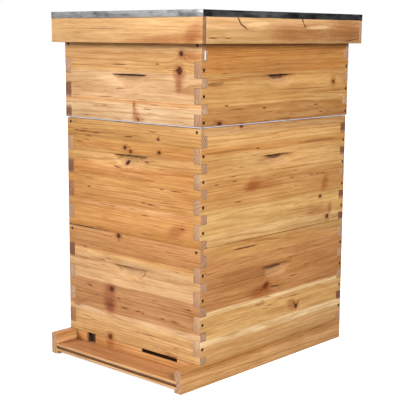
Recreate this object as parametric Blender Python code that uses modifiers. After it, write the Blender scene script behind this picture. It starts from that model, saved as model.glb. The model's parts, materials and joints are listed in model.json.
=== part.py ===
"""Stacked timber beehive for ten hanging frames a box, as an assembly of separate boards.

From the ground up: a reversible bottom board with its landing and entrance reducer, two deep
brood boxes, a queen excluder, a medium honey super, an inner cover and a telescoping outer
cover sheathed in sheet metal.  Each box holds ten frames that hang by their lugs.

Metres, +Z up, the entrance at -Y.  The origin is on the ground under the middle of the hive.
"""

import math

import bmesh
import bpy
from mathutils import Matrix, Vector

# Overall sizes of a hive body
HIVE_WIDTH = 0.413  # outside, across X
HIVE_LENGTH = 0.505  # outside, along Y
DEEP_HEIGHT = 0.2465  # a brood box
SUPER_HEIGHT = 0.170  # the medium honey super
SUPER_MARGIN = 0.002  # the super stands out this far past the brood boxes on each side
BODY_BOARD = 0.019  # thickness of the hive bodies' boards

# Finger joints, measured down from the top edge of a box
TOP_RUN = 0.040  # the end board's first finger, from the top edge
SIDE_FINGER = 0.033  # a finger of a side board
END_FINGER = 0.0194  # a finger of an end board below the first

# Rabbet that carries the frames, in the end boards
RABBET_DEPTH = 0.016
RABBET_WALL = 0.0095  # what the rabbet leaves of the end board

# Hand holds, one in each outer face of a box
HOLD_DROP = 0.070  # from the top edge of the box to the hold's top edge
HOLD_WIDTH = 0.105
HOLD_HEIGHT = 0.031
HOLD_DEPTH = 0.0125
HOLD_SIDES = 96  # facets round the whole cutter, of which the hold shows about a sixth

# Bottom board
RAIL_HEIGHT = 0.0485
RAIL_THICKNESS = 0.019
LANDING = 0.057  # how far the rails and floor run out in front of the boxes
FLOOR_DROP = 0.024  # from the rails' top edge to the floor
FLOOR_THICKNESS = 0.017
HOUSING = 0.005  # how deep the floor is let into the rails and the rear bar
TONGUE_THICKNESS = 0.0055
TONGUE_LENGTH = 0.0055
FRONT_PLANK = 0.290  # depth of the floor's front plank, along Y
REAR_BAR = 0.019

# Entrance reducer, a loose stick between the rails
REDUCER_DEPTH = 0.019
REDUCER_SETBACK = 0.0015  # behind the front face of the box above it
REDUCER_END_CLEARANCE = 0.0025
SLOT_WIDTH = 0.107
SLOT_HEIGHT = 0.008
SLOT_CENTRE = 0.0855
NOTCH_WIDTH = 0.024
NOTCH_DEPTH = 0.0095
NOTCH_CENTRE = -0.133

# Frames
FRAMES_PER_BOX = 10
SIDE_SPACE = 0.0125  # from a wall to the first frame's shoulder
END_SPACE = 0.0095  # from an end board to a frame's end bar
FLOOR_SPACE = 0.006  # from a frame's bottom bar to the bottom edge of its box
SHOULDER_CLEARANCE = 0.0008  # between neighbouring frames' shoulders
LUG_END_CLEARANCE = 0.0015
LUG_THICKNESS = 0.0095
TOP_BAR_WIDTH = 0.027
TOP_BAR_HEIGHT = 0.019
END_BAR_THICKNESS = 0.0095
END_BAR_WIDTH = 0.027  # below the shoulders
SHOULDER_HEIGHT = 0.076  # how far the shoulders reach down an end bar
BOTTOM_BAR_WIDTH = 0.019
BOTTOM_BAR_HEIGHT = 0.0095
FOUNDATION_THICKNESS = 0.0016

# Queen excluder
EXCLUDER_THICKNESS = 0.0025
EXCLUDER_BORDER = 0.030
EXCLUDER_SLOT = 0.0043
EXCLUDER_BRIDGE = 0.014
EXCLUDER_COLUMNS = 5
EXCLUDER_ROWS = 12

# Inner cover
INNER_COVER_HEIGHT = 0.0413
INNER_COVER_RIM = 0.019
INNER_COVER_RECESS = 0.0095  # under the panel
PANEL_THICKNESS = 0.0065
PANEL_HOUSING = 0.005
ESCAPE_LENGTH = 0.095  # the rounded hole in the panel
ESCAPE_WIDTH = 0.032

# Outer cover
COVER_SIDE_CLEARANCE = 0.0025  # from the super's side to the rim's inside
COVER_END_CLEARANCE = 0.001
COVER_BOARD = 0.019
COVER_LAP = 0.0095  # what shows of an end board beside the side board that laps it
COVER_RIM_HEIGHT = 0.0655
DECK_THICKNESS = 0.0191
SHEET_THICKNESS = 0.0007
SHEET_LIP = 0.0142

GAP = 0.0003  # between two pieces that touch
OVERCUT = 0.002  # how far a cutter runs past the face that it cuts
OVERLAP = 0.001  # how far two shapes run into each other before they are joined

# Heights above the ground
FLOOR_TOP = RAIL_HEIGHT - FLOOR_DROP
LOWER_BASE = RAIL_HEIGHT + GAP
UPPER_BASE = LOWER_BASE + DEEP_HEIGHT + GAP
EXCLUDER_BASE = UPPER_BASE + DEEP_HEIGHT + GAP
SUPER_BASE = EXCLUDER_BASE + EXCLUDER_THICKNESS + GAP
INNER_COVER_BASE = SUPER_BASE + SUPER_HEIGHT + GAP
DECK_BASE = INNER_COVER_BASE + INNER_COVER_HEIGHT + GAP
DECK_TOP = DECK_BASE + DECK_THICKNESS

# Half sizes, from the middle of the stack
BODY_X = HIVE_WIDTH / 2
BODY_Y = HIVE_LENGTH / 2
SUPER_X = BODY_X + SUPER_MARGIN
SUPER_Y = BODY_Y + SUPER_MARGIN
RIM_IN_X = SUPER_X + COVER_SIDE_CLEARANCE
RIM_IN_Y = SUPER_Y + COVER_END_CLEARANCE
SHEET_WALL = COVER_BOARD + GAP + SHEET_THICKNESS  # from the rim's inside to the sheet's outside

# The middle of the stack sits behind the origin, because the landing runs out in front
STACK_Y = (BODY_Y + LANDING - RIM_IN_Y - SHEET_WALL) / 2
FRONT_Y = -BODY_Y - LANDING

COLOURS = {
    "honey": (0.60, 0.36, 0.17),
    "amber": (0.52, 0.27, 0.12),
    "russet": (0.45, 0.22, 0.10),
    "pale": (0.72, 0.50, 0.28),
    "zinc": (0.55, 0.57, 0.60),
    "ivory": (0.80, 0.80, 0.84),
}


def clear_scene():
    for obj in list(bpy.data.objects):
        bpy.data.objects.remove(obj, do_unlink=True)


def new_collection(name):
    collection = bpy.data.collections.new(name)
    bpy.context.scene.collection.children.link(collection)
    return collection


def new_material(name, colour, roughness=0.55, metallic=0.0):
    material = bpy.data.materials.new(name)
    material.use_nodes = True
    shader = material.node_tree.nodes["Principled BSDF"]
    shader.inputs["Base Color"].default_value = (*COLOURS[colour], 1.0)
    shader.inputs["Roughness"].default_value = roughness
    shader.inputs["Metallic"].default_value = metallic
    return material


def add_box(mesh, low, high):
    """Adds a box between two corners to a bmesh."""
    low, high = Vector(low), Vector(high)
    place = Matrix.Translation((low + high) / 2) @ Matrix.Diagonal((*(high - low), 1.0))
    bmesh.ops.create_cube(mesh, size=1.0, matrix=place)


def finish_mesh(mesh, name):
    data = bpy.data.meshes.new(name)
    mesh.to_mesh(data)
    mesh.free()
    return data


def boxes_mesh(name, boxes):
    mesh = bmesh.new()
    for low, high in boxes:
        add_box(mesh, low, high)
    return finish_mesh(mesh, name)


def carrier(name, height, parent=None):
    """An empty on the hive's upright axis, which carries one liftable group of pieces."""
    empty = bpy.data.objects.new(name, None)
    PARTS.objects.link(empty)
    empty.empty_display_size = 0.05
    place = Vector((0, STACK_Y, height))
    empty.parent = parent
    empty.location = place - world_place(parent)
    return empty


def world_place(obj):
    place = Vector((0, 0, 0))
    while obj is not None:
        place += obj.location
        obj = obj.parent
    return place


def place_part(name, data, place, parent, colour, roughness=0.55, metallic=0.0):
    """Puts a mesh in the scene as one named piece, at a place given in the hive's frame."""
    obj = bpy.data.objects.new(name, data)
    PARTS.objects.link(obj)
    obj.parent = parent
    obj.location = Vector(place) - world_place(parent)
    if not data.materials:
        data.materials.append(new_material(name, colour, roughness, metallic))
    return obj


def add_board(name, low, high, parent, colour="honey", roughness=0.55):
    """A rectangular board between two corners, with its origin at its middle."""
    low, high = Vector(low), Vector(high)
    middle = (low + high) / 2
    data = boxes_mesh(name, [(low - middle, high - middle)])
    return place_part(name, data, middle, parent, colour, roughness)


def cutter(name, data):
    obj = bpy.data.objects.new(name, data)
    CUTTERS.objects.link(obj)
    obj.hide_render = True
    obj.display_type = "WIRE"
    return obj


def cut(obj, tool):
    modifier = obj.modifiers.new(tool.name, "BOOLEAN")
    modifier.operation = "DIFFERENCE"
    modifier.solver = "EXACT"
    modifier.object = tool


def cut_boxes(obj, label, boxes):
    """Cuts boxes out of a piece; the boxes keep clear of one another."""
    cut(obj, cutter(f"{obj.name}_{label}", boxes_mesh(label, boxes)))


# Bottom board


def make_rail(name, side, parent):
    """A rail of the bottom board, grooved on its inner face for the floor."""
    inner, outer = side * (BODY_X - RAIL_THICKNESS), side * BODY_X
    rail = add_board(
        name,
        (min(inner, outer), STACK_Y + FRONT_Y, 0),
        (max(inner, outer), STACK_Y + BODY_Y, RAIL_HEIGHT),
        parent,
    )
    x_low, x_high = sorted((inner + side * (HOUSING + GAP), inner - side * OVERCUT))
    groove = (
        (x_low, STACK_Y + FRONT_Y - OVERCUT, FLOOR_TOP - FLOOR_THICKNESS - GAP),
        (x_high, STACK_Y + floor_rear() + GAP, FLOOR_TOP + GAP),
    )
    cut_boxes(rail, "groove", [groove])


def floor_rear():
    """Where the floor's rear tongue ends, from the middle of the stack."""
    return BODY_Y - REAR_BAR + HOUSING


def tongue_span(clearance=0.0):
    """Lowest and highest edge of the floor's tongues, or of a groove that takes one."""
    middle = FLOOR_TOP - FLOOR_THICKNESS / 2
    reach = TONGUE_THICKNESS / 2 + clearance
    return middle - reach, middle + reach


def make_rear_bar(parent):
    """The bar that closes the rear, grooved for the floor's rear tongue."""
    half = BODY_X - RAIL_THICKNESS - GAP
    front = STACK_Y + BODY_Y - REAR_BAR
    bar = add_board("rear_bar", (-half, front, 0), (half, front + REAR_BAR, RAIL_HEIGHT), parent)
    low, high = tongue_span(GAP)
    reach = front + HOUSING + GAP
    cut_boxes(bar, "groove", [((-half - OVERCUT, front - OVERCUT, low), (half + OVERCUT, reach, high))])


def make_floor_plank(name, front, rear, tongue, parent):
    """A floor plank, grooved along its front edge, with a tongue of the given length behind."""
    half = BODY_X - RAIL_THICKNESS + HOUSING
    front, rear = STACK_Y + front, STACK_Y + rear
    bottom = FLOOR_TOP - FLOOR_THICKNESS
    plank = add_board(name, (-half, front, bottom), (half, rear, FLOOR_TOP), parent, "amber")
    low, high = tongue_span(GAP)
    groove = (
        (-half - OVERCUT, front - OVERCUT, low),
        (half + OVERCUT, front + TONGUE_LENGTH + GAP, high),
    )
    cut_boxes(plank, "groove", [groove])
    low, high = tongue_span()
    shoulders = [
        ((-half - OVERCUT, rear - tongue, bottom - OVERCUT), (half + OVERCUT, rear + OVERCUT, low)),
        ((-half - OVERCUT, rear - tongue, high), (half + OVERCUT, rear + OVERCUT, FLOOR_TOP + OVERCUT)),
    ]
    cut_boxes(plank, "tongue", shoulders)


def make_reducer(parent):
    """The stick that narrows the entrance: a long slot along its top, a notch across its face."""
    half = BODY_X - RAIL_THICKNESS - REDUCER_END_CLEARANCE
    front = STACK_Y - BODY_Y + REDUCER_SETBACK
    top = LOWER_BASE - 2 * GAP
    low = (-half, front, FLOOR_TOP + GAP)
    stick = add_board("entrance_reducer", low, (half, front + REDUCER_DEPTH, top), parent, "russet")
    slot = (
        (SLOT_CENTRE - SLOT_WIDTH / 2, front - OVERCUT, top - SLOT_HEIGHT),
        (SLOT_CENTRE + SLOT_WIDTH / 2, front + REDUCER_DEPTH + OVERCUT, top + OVERCUT),
    )
    notch = (
        (NOTCH_CENTRE - NOTCH_WIDTH / 2, front - OVERCUT, FLOOR_TOP - OVERCUT),
        (NOTCH_CENTRE + NOTCH_WIDTH / 2, front + NOTCH_DEPTH, top + OVERCUT),
    )
    cut_boxes(stick, "openings", [slot, notch])


def make_bottom_board():
    board = carrier("bottom_board", 0)
    make_rail("rail_left", -1, board)
    make_rail("rail_right", 1, board)
    make_rear_bar(board)
    seam = FRONT_Y + FRONT_PLANK
    make_floor_plank("floor_plank_front", FRONT_Y, seam + TONGUE_LENGTH, TONGUE_LENGTH, board)
    make_floor_plank("floor_plank_rear", seam + GAP, floor_rear(), HOUSING + GAP, board)
    make_reducer(carrier("reducer_slide", FLOOR_TOP, board))
    return board


# Hive bodies


def side_fingers(height):
    """(depth of the upper edge, depth of the lower edge) of each finger of a side board."""
    fingers = []
    depth = TOP_RUN
    while depth < height:
        fingers.append((depth, min(depth + SIDE_FINGER, height)))
        depth += SIDE_FINGER + END_FINGER
    return fingers


def end_fingers(height):
    """The same for the end boards, which fill what the side boards leave."""
    edges = [0.0]
    for upper, lower in side_fingers(height):
        edges += [upper, lower]
    if edges[-1] < height:
        edges.append(height)
    else:
        edges.pop()
    return list(zip(edges[0::2], edges[1::2]))


def run_out(top, upper, lower, height):
    """Heights of a cut between two depths, run past the box's edges where it reaches them."""
    high = top + OVERCUT if upper <= 0 else top - upper
    low = top - height - OVERCUT if lower >= height else top - lower
    return low, high


def hold_cutter(name, face, outward, top):
    """A cone frustum on an upright axis outside a face, which scoops a tapering hand hold."""
    widest = (HOLD_WIDTH**2 / 4 + HOLD_DEPTH**2) / (2 * HOLD_DEPTH)
    slope = HOLD_DEPTH / HOLD_HEIGHT
    drop = HOLD_HEIGHT + OVERCUT
    mesh = bmesh.new()
    bmesh.ops.create_cone(
        mesh,
        cap_ends=True,
        segments=HOLD_SIDES,
        radius1=widest - slope * drop,
        radius2=widest,
        depth=drop,
    )
    tool = cutter(name, finish_mesh(mesh, name))
    middle = Vector(face) + Vector(outward) * (widest - HOLD_DEPTH)
    tool.location = (middle.x, middle.y, top - HOLD_DROP - drop / 2)
    return tool


def make_end_board(name, side, half_x, half_y, base, height, parent, colour):
    """A front or back board, rabbeted inside its top edge to carry the frames."""
    top = base + height
    outer = STACK_Y + side * half_y
    inner = outer - side * BODY_BOARD
    low = (-half_x, min(outer, inner), base)
    board = add_board(name, low, (half_x, max(outer, inner), top), parent, colour)
    y_low, y_high = min(outer, inner) - OVERCUT, max(outer, inner) + OVERCUT
    pockets = []
    for upper, lower in side_fingers(height):
        z_low, z_high = run_out(top, upper, lower, height)
        reach = half_x - BODY_BOARD - GAP
        pockets.append(((-half_x - OVERCUT, y_low, z_low), (-reach, y_high, z_high)))
        pockets.append(((reach, y_low, z_low), (half_x + OVERCUT, y_high, z_high)))
    cut_boxes(board, "fingers", pockets)
    wall = outer - side * RABBET_WALL
    past = inner - side * OVERCUT
    rabbet = (
        (-half_x - OVERCUT, min(wall, past), top - RABBET_DEPTH),
        (half_x + OVERCUT, max(wall, past), top + OVERCUT),
    )
    cut_boxes(board, "rabbet", [rabbet])
    cut(board, hold_cutter(f"{name}_hold", (0, outer, 0), (0, side, 0), top))


def make_side_board(name, side, half_x, half_y, base, height, parent, colour):
    """A left or right board, whose top corners run on into the end boards' rabbets."""
    top = base + height
    outer = side * half_x
    inner = outer - side * BODY_BOARD
    low = (min(outer, inner), STACK_Y - half_y, base)
    board = add_board(name, low, (max(outer, inner), STACK_Y + half_y, top), parent, colour)
    x_low, x_high = min(outer, inner) - OVERCUT, max(outer, inner) + OVERCUT
    pockets, corners = [], []
    for end in (-1, 1):
        tip = STACK_Y + end * (half_y + OVERCUT)
        full = STACK_Y + end * (half_y - BODY_BOARD - GAP)
        lap = STACK_Y + end * (half_y - RABBET_WALL - GAP)
        for upper, lower in end_fingers(height):
            upper = RABBET_DEPTH if upper <= 0 else upper
            z_low, z_high = run_out(top, upper - GAP, lower + GAP, height)
            pockets.append(((x_low, min(tip, full), z_low), (x_high, max(tip, full), z_high)))
        z_low, z_high = run_out(top, 0, RABBET_DEPTH + OVERLAP, height)
        corners.append(((x_low, min(tip, lap), z_low), (x_high, max(tip, lap), z_high)))
    cut_boxes(board, "fingers", pockets)
    cut_boxes(board, "corners", corners)
    cut(board, hold_cutter(f"{name}_hold", (outer, STACK_Y, 0), (side, 0, 0), top))


def make_hive_body(name, base, height, margin, parent, colour):
    half_x, half_y = BODY_X + margin, BODY_Y + margin
    body = carrier(name, base, parent)
    place = (half_x, half_y, base, height, body, colour)
    make_end_board(f"{name}_front", -1, *place)
    make_end_board(f"{name}_back", 1, *place)
    make_side_board(f"{name}_left", -1, *place)
    make_side_board(f"{name}_right", 1, *place)
    return body


# Frames


def frame_boxes(depth, pitch, length, lug_length):
    """The bars and the foundation of one frame, hung from the middle of its top face."""
    shoulder = (pitch - SHOULDER_CLEARANCE) / 2
    half = length / 2
    bar, lower = TOP_BAR_WIDTH / 2, END_BAR_WIDTH / 2
    boxes = [
        ((-bar, -lug_length / 2, -LUG_THICKNESS), (bar, lug_length / 2, 0)),
        ((-bar, -half + OVERLAP, -TOP_BAR_HEIGHT), (bar, half - OVERLAP, -LUG_THICKNESS + OVERLAP)),
        (
            (-BOTTOM_BAR_WIDTH / 2, -half + OVERLAP, -depth),
            (BOTTOM_BAR_WIDTH / 2, half - OVERLAP, -depth + BOTTOM_BAR_HEIGHT),
        ),
        (
            (-FOUNDATION_THICKNESS / 2, -half + END_BAR_THICKNESS - OVERLAP, -depth + OVERLAP),
            (FOUNDATION_THICKNESS / 2, half - END_BAR_THICKNESS + OVERLAP, -TOP_BAR_HEIGHT + OVERLAP),
        ),
    ]
    for end in (-1, 1):
        y_low, y_high = sorted((end * half, end * (half - END_BAR_THICKNESS)))
        under = -LUG_THICKNESS - OVERLAP / 2
        boxes.append(((-shoulder, y_low, -SHOULDER_HEIGHT), (shoulder, y_high, under)))
        boxes.append(((-lower, y_low, -depth + OVERLAP / 2), (lower, y_high, -SHOULDER_HEIGHT + OVERLAP)))
    return boxes


def joined_mesh(name, boxes):
    """One closed mesh made by joining overlapping boxes."""
    first = cutter(name, boxes_mesh(name, boxes[:1]))
    tools = [cutter(f"{name}_{i}", boxes_mesh(name, [box])) for i, box in enumerate(boxes[1:])]
    for tool in tools:
        modifier = first.modifiers.new(tool.name, "BOOLEAN")
        modifier.operation = "UNION"
        modifier.solver = "EXACT"
        modifier.object = tool
    graph = bpy.context.evaluated_depsgraph_get()
    data = bpy.data.meshes.new_from_object(first.evaluated_get(graph))
    for obj in [first, *tools]:
        bpy.data.objects.remove(obj, do_unlink=True)
    data.name = name
    return data


def make_frames(name, base, height, margin, parent):
    """Ten frames, hung by their lugs on the rabbets of a box."""
    inner_x = BODY_X + margin - BODY_BOARD
    inner_y = BODY_Y + margin - BODY_BOARD
    rabbet_y = BODY_Y + margin - RABBET_WALL
    pitch = 2 * (inner_x - SIDE_SPACE) / FRAMES_PER_BOX
    hang = base + height - RABBET_DEPTH + GAP + LUG_THICKNESS
    boxes = frame_boxes(
        hang - base - FLOOR_SPACE, pitch, 2 * (inner_y - END_SPACE), 2 * (rabbet_y - LUG_END_CLEARANCE)
    )
    data = joined_mesh(name, boxes)
    for i in range(FRAMES_PER_BOX):
        x = (i - (FRAMES_PER_BOX - 1) / 2) * pitch
        slide = carrier(f"{name}_{i + 1:02d}_lift", hang, parent)
        place_part(f"{name}_{i + 1:02d}", data, (x, STACK_Y, hang), slide, "pale")


# Queen excluder


def make_excluder(parent):
    """A thin sheet with rows of long slots, which workers pass and a queen can't."""
    top = EXCLUDER_BASE + EXCLUDER_THICKNESS
    low = (-BODY_X, STACK_Y - BODY_Y, EXCLUDER_BASE)
    sheet = add_board("queen_excluder", low, (BODY_X, STACK_Y + BODY_Y, top), parent, "ivory", 0.4)
    span_y = 2 * (BODY_Y - EXCLUDER_BORDER)
    slot_y = (span_y - (EXCLUDER_COLUMNS - 1) * EXCLUDER_BRIDGE) / EXCLUDER_COLUMNS
    pitch_x = 2 * (BODY_X - EXCLUDER_BORDER) / (EXCLUDER_ROWS - 1)
    slots = []
    for column in range(EXCLUDER_COLUMNS):
        y = STACK_Y - span_y / 2 + column * (slot_y + EXCLUDER_BRIDGE)
        for row in range(EXCLUDER_ROWS):
            x = -BODY_X + EXCLUDER_BORDER + row * pitch_x
            slots.append((
                (x - EXCLUDER_SLOT / 2, y, EXCLUDER_BASE - OVERCUT),
                (x + EXCLUDER_SLOT / 2, y + slot_y, top + OVERCUT),
            ))
    cut_boxes(sheet, "slots", slots)


# Inner cover


def panel_span(clearance=0.0):
    low = INNER_COVER_BASE + INNER_COVER_RECESS
    return low - clearance, low + PANEL_THICKNESS + clearance


def make_inner_rim(name, low, high, groove, parent):
    """A strip of the inner cover's rim, grooved for the panel between two corners."""
    strip = add_board(name, (*low, INNER_COVER_BASE), (*high, INNER_COVER_BASE + INNER_COVER_HEIGHT), parent)
    z_low, z_high = panel_span(GAP)
    cut_boxes(strip, "groove", [((*groove[0], z_low), (*groove[1], z_high))])


def make_inner_cover(parent):
    """A thin panel with a rounded hole, let into a rim that stands above and below it."""
    cover = carrier("inner_cover", INNER_COVER_BASE, parent)
    in_x, in_y = BODY_X - INNER_COVER_RIM, BODY_Y - INNER_COVER_RIM
    deep_x, deep_y = in_x + PANEL_HOUSING + GAP, in_y + PANEL_HOUSING + GAP
    for name, side in (("left", -1), ("right", 1)):
        x_low, x_high = sorted((side * in_x, side * BODY_X))
        cut_low, cut_high = sorted((side * (in_x - OVERCUT), side * deep_x))
        groove = ((cut_low, STACK_Y - deep_y), (cut_high, STACK_Y + deep_y))
        low, high = (x_low, STACK_Y - BODY_Y), (x_high, STACK_Y + BODY_Y)
        make_inner_rim(f"inner_cover_{name}", low, high, groove, cover)
    for name, side in (("front", -1), ("back", 1)):
        y_low, y_high = sorted((side * in_y, side * BODY_Y))
        cut_low, cut_high = sorted((side * (in_y - OVERCUT), side * deep_y))
        reach = in_x - GAP
        groove = ((-reach - OVERCUT, STACK_Y + cut_low), (reach + OVERCUT, STACK_Y + cut_high))
        low, high = (-reach, STACK_Y + y_low), (reach, STACK_Y + y_high)
        make_inner_rim(f"inner_cover_{name}", low, high, groove, cover)
    make_panel(in_x + PANEL_HOUSING, in_y + PANEL_HOUSING, cover)
    return cover


def make_panel(half_x, half_y, parent):
    z_low, z_high = panel_span()
    low, high = (-half_x, STACK_Y - half_y, z_low), (half_x, STACK_Y + half_y, z_high)
    panel = add_board("inner_cover_panel", low, high, parent, "pale")
    depth = PANEL_THICKNESS + 2 * OVERCUT
    straight = (ESCAPE_LENGTH - ESCAPE_WIDTH) / 2
    mesh = bmesh.new()
    bmesh.ops.create_cone(
        mesh, cap_ends=True, segments=32, radius1=ESCAPE_WIDTH / 2, radius2=ESCAPE_WIDTH / 2, depth=depth
    )
    for vert in mesh.verts:
        vert.co.y += math.copysign(straight, vert.co.y)
    tool = cutter("inner_cover_escape", finish_mesh(mesh, "escape"))
    tool.location = (0, STACK_Y, (z_low + z_high) / 2)
    cut(panel, tool)


# Outer cover


def make_cover_ends(parent):
    """Front and back rim boards, lapped at their ends by the side boards."""
    out_x, out_y = RIM_IN_X + COVER_BOARD, RIM_IN_Y + COVER_BOARD
    base = DECK_TOP - COVER_RIM_HEIGHT
    for name, side in (("cover_front", -1), ("cover_back", 1)):
        y_low, y_high = sorted((STACK_Y + side * RIM_IN_Y, STACK_Y + side * out_y))
        board = add_board(name, (-out_x, y_low, base), (out_x, y_high, DECK_TOP), parent)
        lap_low, lap_high = sorted((side * (RIM_IN_Y - OVERCUT), side * (out_y - COVER_LAP)))
        laps = []
        for end in (-1, 1):
            x_low, x_high = sorted((end * (RIM_IN_X - GAP), end * (out_x + OVERCUT)))
            low = (x_low, STACK_Y + lap_low, base - OVERCUT)
            laps.append((low, (x_high, STACK_Y + lap_high, DECK_TOP + OVERCUT)))
        cut_boxes(board, "laps", laps)


def make_cover_sides(parent):
    """Side rim boards, which run between the end boards' lips."""
    out_x = RIM_IN_X + COVER_BOARD
    reach = RIM_IN_Y + COVER_BOARD - COVER_LAP - GAP
    base = DECK_TOP - COVER_RIM_HEIGHT
    for name, side in (("cover_left", -1), ("cover_right", 1)):
        x_low, x_high = sorted((side * RIM_IN_X, side * out_x))
        add_board(name, (x_low, STACK_Y - reach, base), (x_high, STACK_Y + reach, DECK_TOP), parent)


def make_sheet(parent):
    """The metal sheet: an open tray turned down over the rim, its wall grown inwards."""
    half_x, half_y = RIM_IN_X + SHEET_WALL, RIM_IN_Y + SHEET_WALL
    base = DECK_TOP + GAP + SHEET_THICKNESS - SHEET_LIP
    mesh = bmesh.new()
    add_box(mesh, (-half_x, -half_y, 0), (half_x, half_y, SHEET_LIP))
    bottom = [face for face in mesh.faces if face.normal.z < -0.5]
    bmesh.ops.delete(mesh, geom=bottom, context="FACES")
    data = finish_mesh(mesh, "cover_sheet")
    sheet = place_part("cover_sheet", data, (0, STACK_Y, base), parent, "zinc", 0.35, 1.0)
    shell = sheet.modifiers.new("shell", "SOLIDIFY")
    shell.thickness = SHEET_THICKNESS
    shell.offset = -1.0
    shell.use_even_offset = True


def make_outer_cover(parent):
    cover = carrier("outer_cover", DECK_BASE, parent)
    half_x, half_y = RIM_IN_X - GAP, RIM_IN_Y - GAP
    low, high = (-half_x, STACK_Y - half_y, DECK_BASE), (half_x, STACK_Y + half_y, DECK_TOP)
    add_board("cover_deck", low, high, cover, "pale")
    make_cover_ends(cover)
    make_cover_sides(cover)
    make_sheet(cover)


def main():
    base = make_bottom_board()
    lower = make_hive_body("lower_box", LOWER_BASE, DEEP_HEIGHT, 0.0, base, "amber")
    make_frames("lower_frame", LOWER_BASE, DEEP_HEIGHT, 0.0, lower)
    upper = make_hive_body("upper_box", UPPER_BASE, DEEP_HEIGHT, 0.0, lower, "honey")
    make_frames("upper_frame", UPPER_BASE, DEEP_HEIGHT, 0.0, upper)
    excluder = carrier("excluder", EXCLUDER_BASE, upper)
    make_excluder(excluder)
    honey = make_hive_body("super", SUPER_BASE, SUPER_HEIGHT, SUPER_MARGIN, excluder, "honey")
    make_frames("super_frame", SUPER_BASE, SUPER_HEIGHT, SUPER_MARGIN, honey)
    make_outer_cover(make_inner_cover(honey))


clear_scene()
PARTS = new_collection("Beehive")
CUTTERS = new_collection("Cutters")
main()
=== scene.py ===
"""The finished look of a stacked timber beehive: waxed fir boards, hanging frames and a zinc cover.

Laid out as a Blender add-on.  The packed hive is loaded as a fixed frame, each operator finishes
one kind of piece around it, and main() runs them in order.
Metres, +Z up, the entrance at -Y.
"""

import json
import math
import random

import bmesh
import bpy
from bpy.props import FloatProperty, FloatVectorProperty, IntProperty, PointerProperty
from bpy.types import Operator, Panel, PropertyGroup
from mathutils import Matrix, Vector

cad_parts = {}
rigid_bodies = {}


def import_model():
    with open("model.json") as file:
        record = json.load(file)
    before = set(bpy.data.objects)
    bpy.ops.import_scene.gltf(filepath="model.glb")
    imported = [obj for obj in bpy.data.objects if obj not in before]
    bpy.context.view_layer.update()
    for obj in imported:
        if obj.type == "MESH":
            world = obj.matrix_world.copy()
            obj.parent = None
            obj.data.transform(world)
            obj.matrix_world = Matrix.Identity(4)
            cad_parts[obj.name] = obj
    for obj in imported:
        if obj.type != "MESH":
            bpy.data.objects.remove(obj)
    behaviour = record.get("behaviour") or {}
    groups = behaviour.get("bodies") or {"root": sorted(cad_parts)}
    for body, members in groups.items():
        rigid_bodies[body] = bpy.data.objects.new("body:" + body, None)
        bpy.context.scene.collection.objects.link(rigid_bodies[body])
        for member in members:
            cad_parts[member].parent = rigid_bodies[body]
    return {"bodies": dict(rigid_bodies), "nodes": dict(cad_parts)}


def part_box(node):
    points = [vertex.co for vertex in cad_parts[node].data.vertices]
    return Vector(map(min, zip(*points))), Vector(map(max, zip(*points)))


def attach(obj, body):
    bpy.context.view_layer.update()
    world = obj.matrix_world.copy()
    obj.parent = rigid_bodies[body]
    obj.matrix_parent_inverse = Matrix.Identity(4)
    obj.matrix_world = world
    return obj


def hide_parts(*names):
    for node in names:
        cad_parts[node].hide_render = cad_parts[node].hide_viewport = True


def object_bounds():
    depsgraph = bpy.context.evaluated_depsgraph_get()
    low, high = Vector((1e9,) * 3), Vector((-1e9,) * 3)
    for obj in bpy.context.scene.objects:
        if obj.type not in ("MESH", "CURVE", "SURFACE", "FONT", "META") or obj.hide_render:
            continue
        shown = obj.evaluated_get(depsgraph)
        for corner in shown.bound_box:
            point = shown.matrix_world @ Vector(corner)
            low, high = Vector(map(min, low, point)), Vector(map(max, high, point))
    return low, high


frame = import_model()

bl_info = {
    "name": "Beehive",
    "version": (1, 0, 0),
    "blender": (4, 5, 0),
    "location": "View3D > Sidebar > Beehive",
    "description": "Finishes a stacked timber beehive around its fixed frame",
    "category": "Add Mesh",
}

CAD_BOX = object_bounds()
BOXES = ("lower_box", "upper_box", "super")
FRAME_SETS = ("lower_frame", "upper_frame", "super_frame")
STACK_Y = sum(corner.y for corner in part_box("lower_box_left")) / 2
ACROSS, ALONG, UPRIGHT = "across", "along", "upright"  # the way a standing board's grain runs
FLAT_ACROSS, FLAT_ALONG = "flat across", "flat along"  # and a lying one's
SIDES = (("front", ACROSS), ("back", ACROSS), ("left", ALONG), ("right", ALONG))
MM = 0.001


# Sizes and colours that a user would change


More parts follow.
